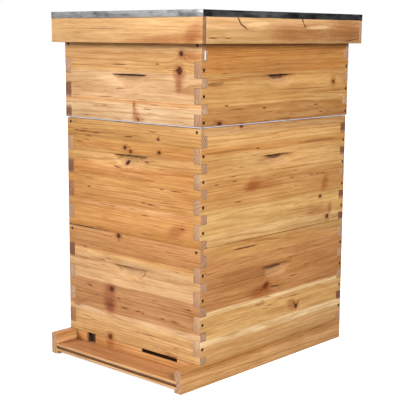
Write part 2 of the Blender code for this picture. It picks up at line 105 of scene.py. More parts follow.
class HiveTimber(PropertyGroup):
    """Tones and grain of the waxed boards."""

    cream: FloatVectorProperty(
        name="Cream", description="Palest sapwood, pinkish", subtype="COLOR", default=(0.72, 0.51, 0.31)
    )
    lemon: FloatVectorProperty(
        name="Lemon", description="Palest yellow stave", subtype="COLOR", default=(0.7, 0.455, 0.22)
    )
    ivory: FloatVectorProperty(
        name="Ivory", description="Almost white stave", subtype="COLOR", default=(0.76, 0.58, 0.33)
    )
    peach: FloatVectorProperty(
        name="Peach", description="Smooth stave of the rim", subtype="COLOR", default=(0.66, 0.405, 0.195)
    )
    pale: FloatVectorProperty(
        name="Pale", description="Sapwood", subtype="COLOR", default=(0.6, 0.38, 0.2)
    )
    straw: FloatVectorProperty(
        name="Straw", description="Yellow stave", subtype="COLOR", default=(0.635, 0.39, 0.155)
    )
    honey: FloatVectorProperty(
        name="Honey", description="The usual stave", subtype="COLOR", default=(0.645, 0.37, 0.16)
    )
    wheat: FloatVectorProperty(
        name="Wheat", description="Dull stave", subtype="COLOR", default=(0.545, 0.335, 0.15)
    )
    amber: FloatVectorProperty(
        name="Amber", description="Orange stave", subtype="COLOR", default=(0.555, 0.285, 0.09)
    )
    tan: FloatVectorProperty(
        name="Tan", description="Darker yellow stave", subtype="COLOR", default=(0.54, 0.3, 0.11)
    )
    copper: FloatVectorProperty(
        name="Copper", description="Deep orange stave", subtype="COLOR", default=(0.5, 0.24, 0.07)
    )
    brown: FloatVectorProperty(
        name="Brown", description="Heartwood stave", subtype="COLOR", default=(0.475, 0.245, 0.09)
    )
    umber: FloatVectorProperty(
        name="Umber", description="Darkest stave", subtype="COLOR", default=(0.432, 0.218, 0.09)
    )
    russet: FloatVectorProperty(
        name="Russet", description="Red stave of the floor", subtype="COLOR", default=(0.45, 0.21, 0.095)
    )
    end_grain: FloatVectorProperty(
        name="End grain", description="Cut across the fibres", subtype="COLOR", default=(0.42, 0.255, 0.175)
    )
    knot: FloatVectorProperty(
        name="Knot", description="Heart of a knot", subtype="COLOR", default=(0.075, 0.024, 0.01)
    )
    ring_spacing: FloatProperty(
        name="Ring spacing", description="Width of a year ring", default=0.0042, unit="LENGTH"
    )
    edge_radius: FloatProperty(
        name="Edge radius", description="Rounding of sawn edges", default=0.0007, unit="LENGTH"
    )


class HiveMetal(PropertyGroup):
    """The sheet on the cover, and the nails."""

    zinc: FloatVectorProperty(
        name="Zinc", description="Galvanised sheet", subtype="COLOR", default=(0.185, 0.187, 0.195)
    )
    iron: FloatVectorProperty(
        name="Iron", description="Nail heads", subtype="COLOR", default=(0.02, 0.021, 0.018)
    )
    nail_radius: FloatProperty(
        name="Nail head", description="Radius of a nail's head", default=0.0035, unit="LENGTH"
    )
    sheet_corner: FloatProperty(
        name="Folded corner", description="Width of the flap at each corner", default=0.016, unit="LENGTH"
    )


class HiveComb(PropertyGroup):
    """What hangs in the frames, and the excluder."""

    wax: FloatVectorProperty(
        name="Wax", description="Foundation sheet", subtype="COLOR", default=(0.66, 0.42, 0.12)
    )
    cell: FloatProperty(name="Cell", description="Distance across a cell", default=0.0054, unit="LENGTH")
    excluder: FloatVectorProperty(
        name="Excluder", description="Queen excluder's plastic", subtype="COLOR", default=(0.6, 0.59, 0.68)
    )
    excluder_rows: IntProperty(name="Rows", description="Slots across the excluder", default=42, min=8)
    excluder_columns: IntProperty(name="Columns", description="Slots along the excluder", default=6, min=2)


class HiveStudio(PropertyGroup):
    """Floor, light and camera."""

    floor: FloatVectorProperty(
        name="Floor", description="Pale floor", subtype="COLOR", default=(0.84, 0.84, 0.84)
    )
    floor_glow: FloatProperty(name="Floor glow", description="Keeps the floor white in shadow", default=0.7)
    floor_size: FloatProperty(name="Floor size", description="Side of the floor", default=40.0, unit="LENGTH")
    left_light: FloatProperty(name="Left light", description="Strength of the left light", default=2.6)
    right_light: FloatProperty(name="Right light", description="Strength of the right light", default=3.25)
    back_light: FloatProperty(name="Back light", description="Strength of the light behind", default=1.7)
    sky: FloatProperty(name="Fill", description="Strength of the light from all round", default=0.36)
    lens: FloatProperty(name="Lens", description="Focal length", default=90.66, unit="CAMERA")


# Node trees


class Graph:
    """Adds nodes to a tree.  An input takes a plain value or another node's output."""

    def __init__(self, tree):
        self.tree = tree

    def add(self, kind, inputs=None, **settings):
        node = self.tree.nodes.new(kind)
        for name, value in settings.items():
            setattr(node, name, value)
        for name, value in (inputs or {}).items():
            self.feed(node.inputs[name], value)
        return node

    def feed(self, socket, value):
        if isinstance(value, bpy.types.NodeSocket):
            self.tree.links.new(value, socket)
        elif socket.type == "RGBA":
            socket.default_value = (*value[:3], 1.0)
        else:
            socket.default_value = value

    def math(self, operation, *values):
        node = self.add("ShaderNodeMath", operation=operation)
        for socket, value in zip(node.inputs, values):
            self.feed(socket, value)
        return node.outputs[0]

    def plus(self, first, second):
        return self.math("ADD", first, second)

    def minus(self, first, second):
        return self.math("SUBTRACT", first, second)

    def times(self, first, second):
        return self.math("MULTIPLY", first, second)

    def over(self, first, second):
        return self.math("DIVIDE", first, second)

    def square(self, first, second):
        """The sum of two squares."""
        return self.plus(self.times(first, first), self.times(second, second))

    def tint(self, colour, by, factor=1.0):
        return self.mix(factor, colour, by, "MULTIPLY")

    def place(self):
        """Where a point is in the hive's frame, which every piece shares."""
        return self.add("ShaderNodeTexCoord").outputs["Object"]

    def facing(self):
        """The way that the flat face under a point looks."""
        return self.split(self.add("ShaderNodeNewGeometry").outputs["True Normal"])

    def vector(self, operation, *values):
        node = self.add("ShaderNodeVectorMath", operation=operation)
        for socket, value in zip(node.inputs, values):
            self.feed(socket, value)
        return node.outputs["Value" if operation == "DOT_PRODUCT" else "Vector"]

    def split(self, vector):
        return self.add("ShaderNodeSeparateXYZ", {"Vector": vector}).outputs

    def join(self, x, y, z):
        return self.add("ShaderNodeCombineXYZ", {"X": x, "Y": y, "Z": z}).outputs[0]

    def mix(self, factor, first, second, mode="MIX"):
        node = self.add("ShaderNodeMix", data_type="RGBA", blend_type=mode, clamp_factor=True)
        for index, value in ((0, factor), (6, first), (7, second)):
            self.feed(node.inputs[index], value)
        return node.outputs[2]

    def step(self, value, low, high, start=0.0, end=1.0):
        """Goes smoothly from start to end as value goes from low to high."""
        inputs = {"Value": value, "From Min": low, "From Max": high, "To Min": start, "To Max": end}
        return self.add("ShaderNodeMapRange", inputs, interpolation_type="SMOOTHSTEP").outputs["Result"]

    def noise(self, vector, stretch, detail=2.0, roughness=0.5):
        """Noise with so many waves a metre along each axis."""
        inputs = {
            "Vector": self.vector("MULTIPLY", vector, stretch),
            "Scale": 1.0,
            "Detail": detail,
            "Roughness": roughness,
        }
        return self.add("ShaderNodeTexNoise", inputs).outputs["Fac"]

    def stray(self, vector, stretch, reach, detail=2.0):
        """Noise about zero, with so much between its lowest and its highest."""
        return self.times(self.minus(self.noise(vector, stretch, detail), 0.5), reach)

    def ramp(self, factor, stops, interpolation="LINEAR"):
        node = self.add("ShaderNodeValToRGB", {"Fac": factor})
        node.color_ramp.interpolation = interpolation
        elements = node.color_ramp.elements
        while len(elements) < len(stops):
            elements.new(0.5)
        for element, (place, _) in zip(elements, stops):
            element.position = place
        for element, (_, colour) in zip(elements, stops):
            element.color = (*colour, 1.0)
        return node.outputs["Color"]

    def group(self, tree, inputs):
        node = self.add("ShaderNodeGroup", node_tree=tree)
        for name, value in inputs.items():
            self.feed(node.inputs[name], value)
        return node.outputs


def new_group(name, inputs, outputs):
    """A node group and its ends.  Each socket is given as its name and kind."""
    tree = bpy.data.node_groups.new(name, "ShaderNodeTree")
    for side, sockets in (("INPUT", inputs), ("OUTPUT", outputs)):
        for label, kind in sockets:
            tree.interface.new_socket(label, in_out=side, socket_type=f"NodeSocket{kind}")
    graph = Graph(tree)
    return graph, graph.add("NodeGroupInput").outputs, graph.add("NodeGroupOutput").inputs


def new_material(name):
    """An empty material: its graph and its Principled shader."""
    material = bpy.data.materials.new(name)
    material.use_nodes = True
    return material, Graph(material.node_tree), material.node_tree.nodes["Principled BSDF"].inputs


def dress(graph, shader, colour, roughness, height, distance, strength=0.6):
    """Gives a shader its colour, its roughness, and a relief so many metres high."""
    relief = graph.add("ShaderNodeBump", {"Strength": strength, "Distance": distance, "Height": height})
    graph.feed(shader["Base Color"], colour)
    graph.feed(shader["Roughness"], roughness)
    graph.feed(shader["Normal"], relief.outputs["Normal"])


def scaled(colour, factor):
    return tuple(min(1.0, channel * factor) for channel in colour)


# Timber


def make_mark_group():
    """How near a point of a face is to a mark: its core, its stain, and how it lifts the rings."""
    graph, given, made = new_group(
        "mark",
        [("U", "Float"), ("V", "Float"), ("Ragged", "Float"), ("Centre", "Vector"), ("Size", "Vector"),
         ("Tilt", "Float")],
        [("Core", "Float"), ("Stain", "Float"), ("Lift", "Float")],
    )
    centre, size = graph.split(given["Centre"]), graph.split(given["Size"])
    du = graph.minus(given["U"], centre[0])
    dv = graph.minus(given["V"], centre[1])
    cosine, sine = graph.math("COSINE", given["Tilt"]), graph.math("SINE", given["Tilt"])
    along = graph.plus(graph.times(du, cosine), graph.times(dv, sine))
    across = graph.minus(graph.times(dv, cosine), graph.times(du, sine))
    square = graph.square(graph.over(along, size[0]), graph.over(across, size[1]))
    away = graph.plus(graph.math("SQRT", square), given["Ragged"])
    graph.feed(made["Core"], graph.step(away, 0.65, 1.15, 1.0, 0.0))
    graph.feed(made["Stain"], graph.step(away, 0.6, 2.6, 1.0, 0.0))
    fall = graph.math("EXPONENT", graph.times(square, -0.30))
    graph.feed(made["Lift"], graph.times(fall, size[1]))
    return graph.tree


def make_timber_group(timber):
    """Solid wood: year rings round a pith, fibres, streaks, flecks, and end grain where it is cut."""
    graph, given, made = new_group(
        "timber",
        [("Grain", "Vector"), ("Tone", "Color"), ("Pith", "Vector"), ("Lift", "Float"), ("End", "Float"),
         ("Flecks", "Float"), ("Figure", "Float")],
        [("Colour", "Color"), ("Height", "Float"), ("Roughness", "Float")],
    )
    grain = given["Grain"]
    place, pith = graph.split(grain), graph.split(given["Pith"])
    wander = graph.stray(grain, (1.7, 9, 9), 22 * MM)
    ripple = graph.stray(grain, (9, 60, 60), 3 * MM)
    across, deep = graph.minus(place[1], pith[1]), graph.minus(place[2], pith[2])
    reach = graph.plus(graph.math("SQRT", graph.square(across, deep)), graph.plus(wander, ripple))
    years = graph.over(graph.plus(reach, given["Lift"]), timber.ring_spacing)
    turn = graph.math("FRACT", years)
    year = graph.add("ShaderNodeTexWhiteNoise", {"W": graph.math("FLOOR", years)}, noise_dimensions="1D")
    late = graph.minus(graph.step(turn, 0.42, 0.88), graph.step(turn, 0.91, 1.0))
    late = graph.times(late, graph.step(year.outputs["Value"], 0.0, 1.0, 0.15, 1.0))
    ring = graph.times(late, given["Figure"])

    streak = graph.noise(grain, (1.3, 48, 48), 3.0, 0.6)
    fibre = graph.noise(grain, (34, 520, 520), 2.0, 0.6)
    fine = graph.noise(grain, (9, 190, 190), 2.0, 0.6)
    patch = graph.noise(grain, (8.0, 22, 22), 3.0)
    colour = graph.mix(graph.step(streak, 0.3, 0.72), (1.06, 1.08, 1.10), (0.91, 0.86, 0.79))
    colour = graph.tint(given["Tone"], colour, given["Figure"])
    colour = graph.tint(colour, (0.90, 0.84, 0.77), graph.step(patch, 0.3, 0.7))
    colour = graph.tint(colour, (0.70, 0.52, 0.36), graph.times(ring, 0.7))
    fine_tone = graph.mix(graph.step(fine, 0.36, 0.66), (1.06, 1.07, 1.08), (0.88, 0.82, 0.74))
    fibre_tone = graph.mix(graph.step(fibre, 0.35, 0.7), (1.05, 1.05, 1.06), (0.91, 0.88, 0.83))
    colour = graph.tint(graph.tint(colour, fine_tone), fibre_tone)
    dash = graph.step(graph.noise(grain, (21, 330, 330), 1.0), 0.66, 0.74)
    dash = graph.times(dash, graph.step(graph.noise(grain, (2.3, 11, 11), 1.0), 0.46, 0.6))
    dash = graph.times(dash, given["Flecks"])
    colour = graph.mix(dash, colour, (0.19, 0.058, 0.014))

    pores = graph.noise(grain, (80, 900, 900), 1.0)
    cut = graph.mix(0.68, given["Tone"], timber.end_grain)
    cut = graph.tint(cut, (0.42, 0.29, 0.23), late)
    cut = graph.tint(cut, (0.82, 0.80, 0.78), graph.step(pores, 0.4, 0.7))
    graph.feed(made["Colour"], graph.mix(given["End"], colour, cut))
    height = graph.plus(graph.times(fibre, 0.5), graph.times(late, 0.35))
    graph.feed(made["Height"], graph.minus(height, graph.times(dash, 0.6)))
    waxed = graph.step(fine, 0.3, 0.7, 0.44, 0.56)
    graph.feed(made["Roughness"], graph.plus(waxed, graph.times(given["End"], 0.22)))
    return graph.tree


# What each kind of mark shows: (core, stain round it, lift of the rings, colour of the core). Besides real
# cracks, flecks and dark end grain, the dark lines and blots are also painted shade under hand holds, lips
# and edges and in the reducer's notch, and the cut is partly painted light.
MARKS = {
    "knot": (1.0, 0.75, 1.8, "knot"),
    "pin": (0.95, 0.6, 1.2, "resin_and_shade"),
    "fleck": (0.85, 0.15, 0.0, "resin_and_shade"),
    "faint": (0.45, 0.0, 0.0, "resin_and_shade"),
    "stain": (0.0, 0.75, 0.0, "knot"),
    "slit": (1.0, 0.25, 0.0, "slit"),
    "scar": (0.6, 0.3, 0.0, "scar"),
    "dark": (0.85, 0.3, 0.0, "dark_wood_and_shade"),
    "cut": (0.4, 0.0, 0.0, "cut"),
}
CORE_COLOURS = {
    "resin_and_shade": (0.11, 0.026, 0.006),
    "slit": (0.045, 0.02, 0.012),
    "scar": (0.80, 0.56, 0.27),
    "dark_wood_and_shade": (0.15, 0.058, 0.028),
    # the paler wood of a hand hold, partly painted light over the scoop's shading
    "cut": (0.78, 0.45, 0.22),
}
STAIN_TINT = (0.66, 0.42, 0.30)

# Staves glued up into each board seen from outside, from its bottom edge:
# (height of the top edge in mm, tone)
STAVES = {
    "lower_box_front": [
        (50, "wheat"), (63, "pale"), (128, "umber"), (188, "pale"), (199, "honey"), (247, "brown"),
    ],
    "upper_box_front": [
        (56, "amber"), (64, "honey"), (106, "amber"), (134, "amber"), (154, "amber"), (180, "tan"),
        (205, "amber"), (247, "tan"),
    ],
    "super_front": [(38, "cream"), (46, "honey"), (105, "pale"), (170, "honey")],
    "lower_box_right": [
        (36, "honey"), (51, "ivory"), (101, "straw"), (110, "ivory"), (213, "brown"), (227, "tan"),
        (247, "tan"),
    ],
    "upper_box_right": [
        (26, "lemon"), (75, "straw"), (135, "tan"), (190, "straw"), (204, "amber"), (230, "straw"),
        (247, "wheat"),
    ],
    "super_right": [(40, "brown"), (55, "straw"), (105, "tan"), (170, "copper")],
    "floor_plank_front": [(1.5, "pale"), (70, "russet"), (150, "brown"), (220, "russet"), (300, "brown")],
    "rail_left": [(34, "honey"), (49, "brown")],
    "rail_right": [(34, "honey"), (49, "brown")],
    "entrance_reducer": [(30, "brown")],
    "cover_front": [(66, "peach")],
    "cover_right": [(30, "wheat"), (66, "peach")],
}

# Marks on the same boards, in mm from the board's middle and its bottom edge:
# (kind, along, up, half length, half height, and its tilt in degrees if it has one)
FACE_MARKS = {
    "lower_box_front": [
        ("knot", -38, 242, 7, 6), ("knot", -62, 117, 8, 6), ("stain", -70, 96, 12, 22),
        ("stain", -66, 78, 10, 9), ("faint", -66, 78, 9, 6), ("fleck", -135, 114, 9, 2, -10),
        ("fleck", -22, 81, 11, 1.8), ("fleck", 22, 81, 9, 1.5, 8), ("fleck", 38, 80, 4, 1.5),
        ("fleck", 97, 79, 7, 1.6), ("fleck", 133, 79, 11, 1.4), ("fleck", 175, 113, 7, 1.4),
        ("faint", 72, 114, 7, 1.4), ("faint", 150, 57, 19, 1), ("pin", -68, 5, 7, 8),
        ("fleck", -40, 99, 5, 2), ("faint", 41, 164, 13, 1.1, 48), ("faint", 34, 160, 13, 1.1, 42),
        ("faint", 46, 170, 8, 1.1, 60),
    ],
    "upper_box_front": [
        ("fleck", -175, 220, 8, 1.3), ("fleck", -152, 219, 14, 1.7), ("fleck", -108, 218, 11, 1.3),
        ("fleck", -4, 216, 14, 1.8, 3), ("pin", 85, 217, 4, 3.6), ("knot", 88, 189, 5, 4),
        ("knot", -16, 192, 5, 4.5), ("pin", 1, 185, 5, 4.5), ("fleck", 52, 166, 8, 2.2),
        ("fleck", -42, 148, 11, 1.8, -8), ("faint", -146, 154, 10, 1.3), ("knot", -12, 159, 8, 5, 35),
        ("faint", -150, 117, 50, 1), ("fleck", 137, 112, 20, 1.2), ("fleck", 95, 112, 7, 1.4),
        ("fleck", -135, 95, 7, 1.6), ("fleck", 40, 77, 8, 1.6), ("fleck", 62, 76, 7, 1.4, -6),
        ("faint", 5, 60, 16, 1.2), ("fleck", 156, 35, 7, 1.8), ("stain", 140, 29, 16, 7, 20),
        # the dark line along the left of the bottom edge is a painted shadow of a gap under the board
        ("faint", -100, 6, 14, 1.4), ("slit", -165, 0.5, 90, 1.8),
    ],
    "super_front": [
        ("knot", 153, 144, 6, 5.5), ("knot", 148, 111, 9, 9), ("stain", 147, 98, 9, 12),
        ("stain", 145, 80, 5, 9), ("stain", 178, 142, 18, 6), ("fleck", -30, 120, 26, 1.2),
        ("fleck", 85, 123, 7, 1.3), ("faint", -7, 112, 7, 1.1), ("stain", 27, 5, 11, 5),
        ("fleck", 27, 5, 6, 2.5, -35), ("stain", 20, 16, 6, 7), ("stain", 15, 30, 3, 8),
        ("slit", 14, 36, 1.2, 5), ("faint", -140, 7, 12, 1.2),
    ],
    "lower_box_right": [
        ("stain", -56, 122, 22, 8), ("pin", -38, 134, 10, 6, 30), ("slit", -5, 126, 17, 1.4, -4),
        ("knot", 73, 64, 6, 6), ("fleck", 66, 73, 8, 2, -60), ("fleck", 81, 73, 8, 2, 60),
        ("stain", 58, 70, 10, 8), ("faint", -60, 94, 18, 4), ("faint", -160, 77, 60, 1.3),
        ("faint", -110, 158, 135, 1.2), ("fleck", -110, 230, 45, 2.2), ("faint", 0, 246, 255, 1.5),
    ],
    "upper_box_right": [
        ("pin", -128, 245, 6, 4), ("stain", -86, 118, 16, 9, 20), ("stain", -60, 112, 40, 5),
        ("stain", 175, 94, 7, 12, -25), ("pin", 158, 64, 5, 4), ("stain", 145, 28, 26, 6),
        ("pin", 187, 13, 7, 6), ("stain", 197, 32, 5, 8), ("fleck", -73, 194, 8, 1.4),
        ("faint", -155, 195, 80, 2.4), ("fleck", 123, 119, 7, 1.4), ("fleck", 145, 119, 8, 1.4),
        ("fleck", 166, 119, 7, 1.4), ("fleck", 48, 119, 6, 1.2), ("fleck", -135, 85, 11, 1.2),
        ("fleck", -152, 141, 6, 1.2), ("fleck", -204, 128, 6, 1.2), ("fleck", -147, 130, 7, 1.2),
        ("faint", 100, 43, 90, 1.2, -2), ("faint", 150, 196, 70, 4),
    ],
    "super_right": [
        ("pin", 196, 79, 6, 5), ("knot", -200, 5, 8, 4), ("fleck", -140, 31, 19, 1.1),
        ("fleck", -55, 30, 6, 2), ("fleck", -178, 40, 6, 1.8), ("faint", 90, 67, 140, 1.2),
        ("faint", -215, 84, 30, 5, 4), ("fleck", 130, 29, 8, 1.3), ("fleck", 150, 12, 8, 1.3),
    ],
    "cover_front": [
        ("stain", 120, 6, 70, 6, 3), ("stain", 205, 20, 16, 10, 30), ("faint", -60, 30, 80, 1.4),
        # the last mark is a painted shade line under the metal lip
        ("faint", 230, 24, 1.5, 60), ("faint", 0, 51.6, 236, 0.9),
    ],
    "cover_right": [
        ("slit", -165, 45, 13, 1.7, -52), ("slit", -150, 34, 11, 1.5, -28), ("slit", 46, 49, 9, 1.6, -60),
        ("slit", 54, 38, 7, 1.5, -45), ("scar", -108, 40, 40, 5, 3), ("scar", 105, 35, 48, 4, 2),
        ("slit", 228, 7, 34, 1.0, 7), ("fleck", -245, 11, 16, 1.2), ("fleck", -200, 11, 12, 1.2),
        ("stain", 40, 20, 60, 12), ("stain", 220, 25, 50, 16),
    ],
    "rail_left": [("dark", -291, 41, 5, 6)],
    "rail_right": [("faint", 180, 44, 40, 1.6), ("dark", -292, 34, 3.5, 13)],
    # the dark band at the left is the painted shade of the notch's left wall
    "entrance_reducer": [("stain", -70, 16, 8, 8), ("dark", -147, 12, 3, 14)],
    "super_left": [("dark", -254, 65, 16, 17), ("dark", -254, 12, 12, 10), ("knot", 60, 120, 7, 6)],
    "upper_box_left": [("dark", -252, 138, 10, 15), ("stain", -252, 86, 14, 18), ("knot", 110, 88, 8, 7)],
    "lower_box_left": [("dark", -252, 190, 8, 16), ("stain", -252, 40, 12, 16), ("pin", -90, 150, 6, 5)],
    "upper_box_back": [
        ("dark", 206, 222, 10, 11), ("dark", 206, 169, 10, 11), ("dark", 206, 64, 9, 11),
        ("dark", 206, 12, 9, 11), ("knot", -60, 190, 8, 7), ("stain", -52, 170, 12, 16),
        ("fleck", 90, 64, 12, 1.5), ("pin", 120, 128, 5, 4),
    ],
    "lower_box_back": [("dark", 206, 64, 10, 12), ("knot", 96, 84, 7, 6), ("fleck", -120, 200, 14, 1.6, 4)],
}


# How a board's own axes (along the grain, up or across the face, through it) lie in the hive's
AXES = {
    ACROSS: (0, 2, 1), ALONG: (1, 2, 0), UPRIGHT: (2, 0, 1), FLAT_ACROSS: (0, 1, 2), FLAT_ALONG: (1, 0, 2),
}
PALETTE = ("pale", "honey", "straw", "amber", "tan", "wheat", "brown")
SOFT_SEAM = 1.6 * MM  # over which one stave's tone runs into the next
SEAM_WANDER = 7 * MM  # how far a band's edge strays along the board
WAX_SPECULAR = 0.22


def chosen_staves(rng, height, tones):
    """Staves for a board that nothing is said about: (height of the top edge in mm, tone)."""
    staves, edge = [], 0.0
    while edge < height:
        edge += rng.uniform(34, 78)
        staves.append((min(edge, height), rng.choice(tones)))
    return staves


def chosen_marks(rng, length, height):
    """A few knots and flecks for such a board."""
    marks = []
    for _ in range(rng.randint(1, 3)):
        radius = rng.uniform(4, 9)
        along, up = rng.uniform(-0.42, 0.42) * length, rng.uniform(0.1, 0.9) * height
        marks.append(("knot", along, up, radius, radius * 0.8))
    for _ in range(rng.randint(2, 5)):
        along, up = rng.uniform(-0.45, 0.45) * length, rng.uniform(0.05, 0.95) * height
        marks.append(("fleck", along, up, rng.uniform(6, 14), rng.uniform(1.2, 2.0), rng.uniform(-5, 5)))
    return marks


def stave_ramps(graph, rng, up, height, staves, timber):
    """The tone at a height of the board, and where the pith of that stave's tree lay."""
    share = graph.over(up, height)
    tones, piths = [], []
    low = 0.0
    for edge, tone in staves:
        edge = edge * MM
        colour = tuple(c * rng.uniform(0.97, 1.03) for c in getattr(timber, tone))
        pith = ((low + edge) / 2 + rng.uniform(-0.05, 0.05) + 0.5, rng.uniform(0.02, 0.085), 0.0)
        start = max(0.0, (low + SOFT_SEAM) / height) if low else 0.0
        tones += [(start, colour), (min(1.0, max(start, (edge - SOFT_SEAM) / height)), colour)]
        piths.append((low / height, pith))
        low = edge
    tone = graph.ramp(share, tones)
    place = graph.split(graph.ramp(share, piths, "CONSTANT"))
    return tone, graph.join(0.0, graph.minus(place[0], 0.5), graph.times(place[1], -1.0))


def blotch(graph, place, ragged, kind, along, up, half_length, half_height, tilt=0):
    """One mark: the name of its core's colour, and its core, stain and lift scaled as its kind says."""
    *amounts, colour = MARKS[kind]
    made = graph.group(bpy.data.node_groups["mark"], {
        "U": place[0], "V": place[1], "Ragged": ragged,
        "Centre": (along * MM, up * MM, 0.0),
        "Size": (half_length * MM, half_height * MM, 1.0),
        "Tilt": math.radians(tilt),
    })
    names = ("Core", "Stain", "Lift")
    return (colour, *(graph.times(made[name], amount) for name, amount in zip(names, amounts)))


def timber_material(name, axes, low, high, staves, marks=(), flecks=1.0, shade=1.0, figure=1.0):
    """A waxed board between two corners, glued up from staves, with its own knots and flecks."""
    timber = bpy.context.scene.hive_timber
    rng = random.Random(name)
    material, graph, shader = new_material(name)
    order = AXES[axes]
    source = graph.split(graph.place())
    height = high[order[1]] - low[order[1]]
    origin = ((low[order[0]] + high[order[0]]) / 2, low[order[1]], low[order[2]])
    place = [graph.minus(source[axis], start) for axis, start in zip(order, origin)]
    own = rng.uniform(2, 90)
    field = graph.vector("ADD", graph.join(*place), (own, own * 0.37, own * 0.71))
    up = graph.plus(place[1], graph.stray(field, (4, 2, 2), SEAM_WANDER, 1.0))
    tone, pith = stave_ramps(graph, rng, up, height, staves, timber)
    ragged = graph.stray(field, (60, 130, 60), 0.9)
    blots = [blotch(graph, place, ragged, *mark) for mark in marks]
    lift = 0.0
    for _, _, _, rise in blots:
        lift = graph.plus(rise, lift)
    wood = graph.group(bpy.data.node_groups["timber"], {
        "Grain": field,
        "Tone": tone,
        "Pith": graph.vector("ADD", pith, (0.0, own * 0.37, own * 0.71)),
        "Lift": lift,
        "End": graph.step(graph.math("ABSOLUTE", graph.facing()[order[0]]), 0.55, 0.8),
        "Flecks": flecks,
        "Figure": figure,
    })
    colour, roughness = wood["Colour"], wood["Roughness"]
    if shade != 1.0:
        colour = graph.tint(colour, (shade, shade, shade))
    for core_name, _, stain, _ in blots:
        if core_name != "scar":
            colour = graph.tint(colour, STAIN_TINT, stain)
    core_colours = {"knot": tuple(timber.knot), **CORE_COLOURS}
    for core_name, core, _, _ in blots:
        colour = graph.mix(core, colour, core_colours[core_name])
        if core_name in ("knot", "slit"):
            roughness = graph.math("MAXIMUM", roughness, graph.times(core, 0.85))
    shader["Specular IOR Level"].default_value = WAX_SPECULAR
    dress(graph, shader, colour, roughness, wood["Height"], 0.35 * MM)
    return material


# Meshes


def finish_mesh(mesh, name):
    bmesh.ops.recalc_face_normals(mesh, faces=mesh.faces)
    data = bpy.data.meshes.new(name)
    mesh.to_mesh(data)
    mesh.free()
    return data


def thicken(mesh, name, thickness):
    """Turns a sheet's faces up and outward, and gives it its thickness on their other side."""
    bmesh.ops.recalc_face_normals(mesh, faces=mesh.faces)
    top = max(mesh.faces, key=lambda face: face.calc_center_median().z)
    if top.normal.z < 0:
        bmesh.ops.reverse_faces(mesh, faces=mesh.faces)
    data = bpy.data.meshes.new("flat")
    mesh.to_mesh(data)
    mesh.free()
    sheet = bpy.data.objects.new("sheet", data)
    bpy.context.scene.collection.objects.link(sheet)
    solidify = sheet.modifiers.new("thickness", "SOLIDIFY")
    solidify.thickness = thickness
    solidify.offset = -1.0
    solid = bpy.data.meshes.new_from_object(sheet.evaluated_get(bpy.context.evaluated_depsgraph_get()))
    bpy.data.objects.remove(sheet)
    solid.name = name
    return solid


def show(data, material, body, replaced=None):
    """Puts a finished piece, named as its mesh is, in the scene, riding on its body."""
    piece = bpy.data.objects.new(data.name, data)
    bpy.context.scene.collection.objects.link(piece)
    data.materials.clear()
    data.materials.append(material)
    data.shade_smooth()
    data.set_sharp_from_angle(angle=math.radians(32))
    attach(piece, body)
    if replaced:
        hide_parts(replaced)
    return piece


HOLD_REACH = 60 * MM  # from the middle of a board to beyond its hand hold's ends
HOLD_TOP, HOLD_FOOT = 68 * MM, 104 * MM  # below the board's top edge


def in_hand_hold(edge, middle, top):
    """True for the edges of a board's hand hold, which stay crisp."""
    axis, centre = middle
    points = [vert.co for vert in edge.verts]
    return all(abs(point[axis] - centre) < HOLD_REACH for point in points) and all(
        HOLD_TOP < top - point.z < HOLD_FOOT for point in points)


def bevel(mesh, edges, width, segments):
    bmesh.ops.bevel(
        mesh, geom=edges, offset=width, offset_type="OFFSET", segments=segments, profile=0.5, affect="EDGES",
        clamp_overlap=True,
    )


def round_edges(mesh, radius, segments=2, keep_sharp=None):
    """Rounds over every sharp edge but those that keep_sharp() picks."""
    sharp = [edge for edge in mesh.edges if edge.calc_face_angle(0) > math.radians(30)]
    if keep_sharp:
        sharp = [edge for edge in sharp if not keep_sharp(edge)]
    bevel(mesh, sharp, radius, segments)


def sawn_mesh(node, radius, keep_sharp=None):
    """A CAD board's mesh with flat faces joined up and its edges rounded over."""
    mesh = bmesh.new()
    mesh.from_mesh(frame["nodes"][node].data)
    bmesh.ops.remove_doubles(mesh, verts=mesh.verts, dist=0.02 * MM)
    bmesh.ops.dissolve_limit(mesh, angle_limit=math.radians(1), verts=mesh.verts, edges=mesh.edges)
    round_edges(mesh, radius, keep_sharp=keep_sharp)
    return finish_mesh(mesh, f"{node}_board")


def board(
    node, body, axes, staves=None, marks=None, flecks=1.0, tones=PALETTE, extra=(), keep_sharp=None,
    deep=None, dirt=0.13, figure=1.0,
):
    """Finishes one CAD board: rounded edges and its own timber, with painted shade (a darker copy of the
    timber) on the recessed faces that deep() picks.
    """
    low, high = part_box(node)
    order = AXES[axes]
    rng = random.Random(f"{node} staves")
    length, height = (high[order[0]] - low[order[0]]) / MM, (high[order[1]] - low[order[1]]) / MM
    staves = staves or STAVES.get(node) or chosen_staves(rng, height, tones)
    if marks is None:
        marks = FACE_MARKS.get(node) or chosen_marks(rng, length, height)
    marks = [*extra, *marks]
    material = timber_material(f"{node}_timber", axes, low, high, staves, marks, flecks, figure=figure)
    data = sawn_mesh(node, bpy.context.scene.hive_timber.edge_radius, keep_sharp)
    show(data, material, body, node)
    if deep:
        # the picked faces get a darker copy of the timber: painted shade in the recess
        data.materials.append(timber_material(f"{node}_dirt", axes, low, high, staves, [], flecks, dirt))
        for face in data.polygons:
            face.material_index = int(deep(face.center, low, high))


def add_box(mesh, low, high):
    low, high = Vector(low), Vector(high)
    place = Matrix.Translation((low + high) / 2) @ Matrix.Diagonal((*(high - low), 1.0))
    return bmesh.ops.create_cube(mesh, size=1.0, matrix=place)["verts"]


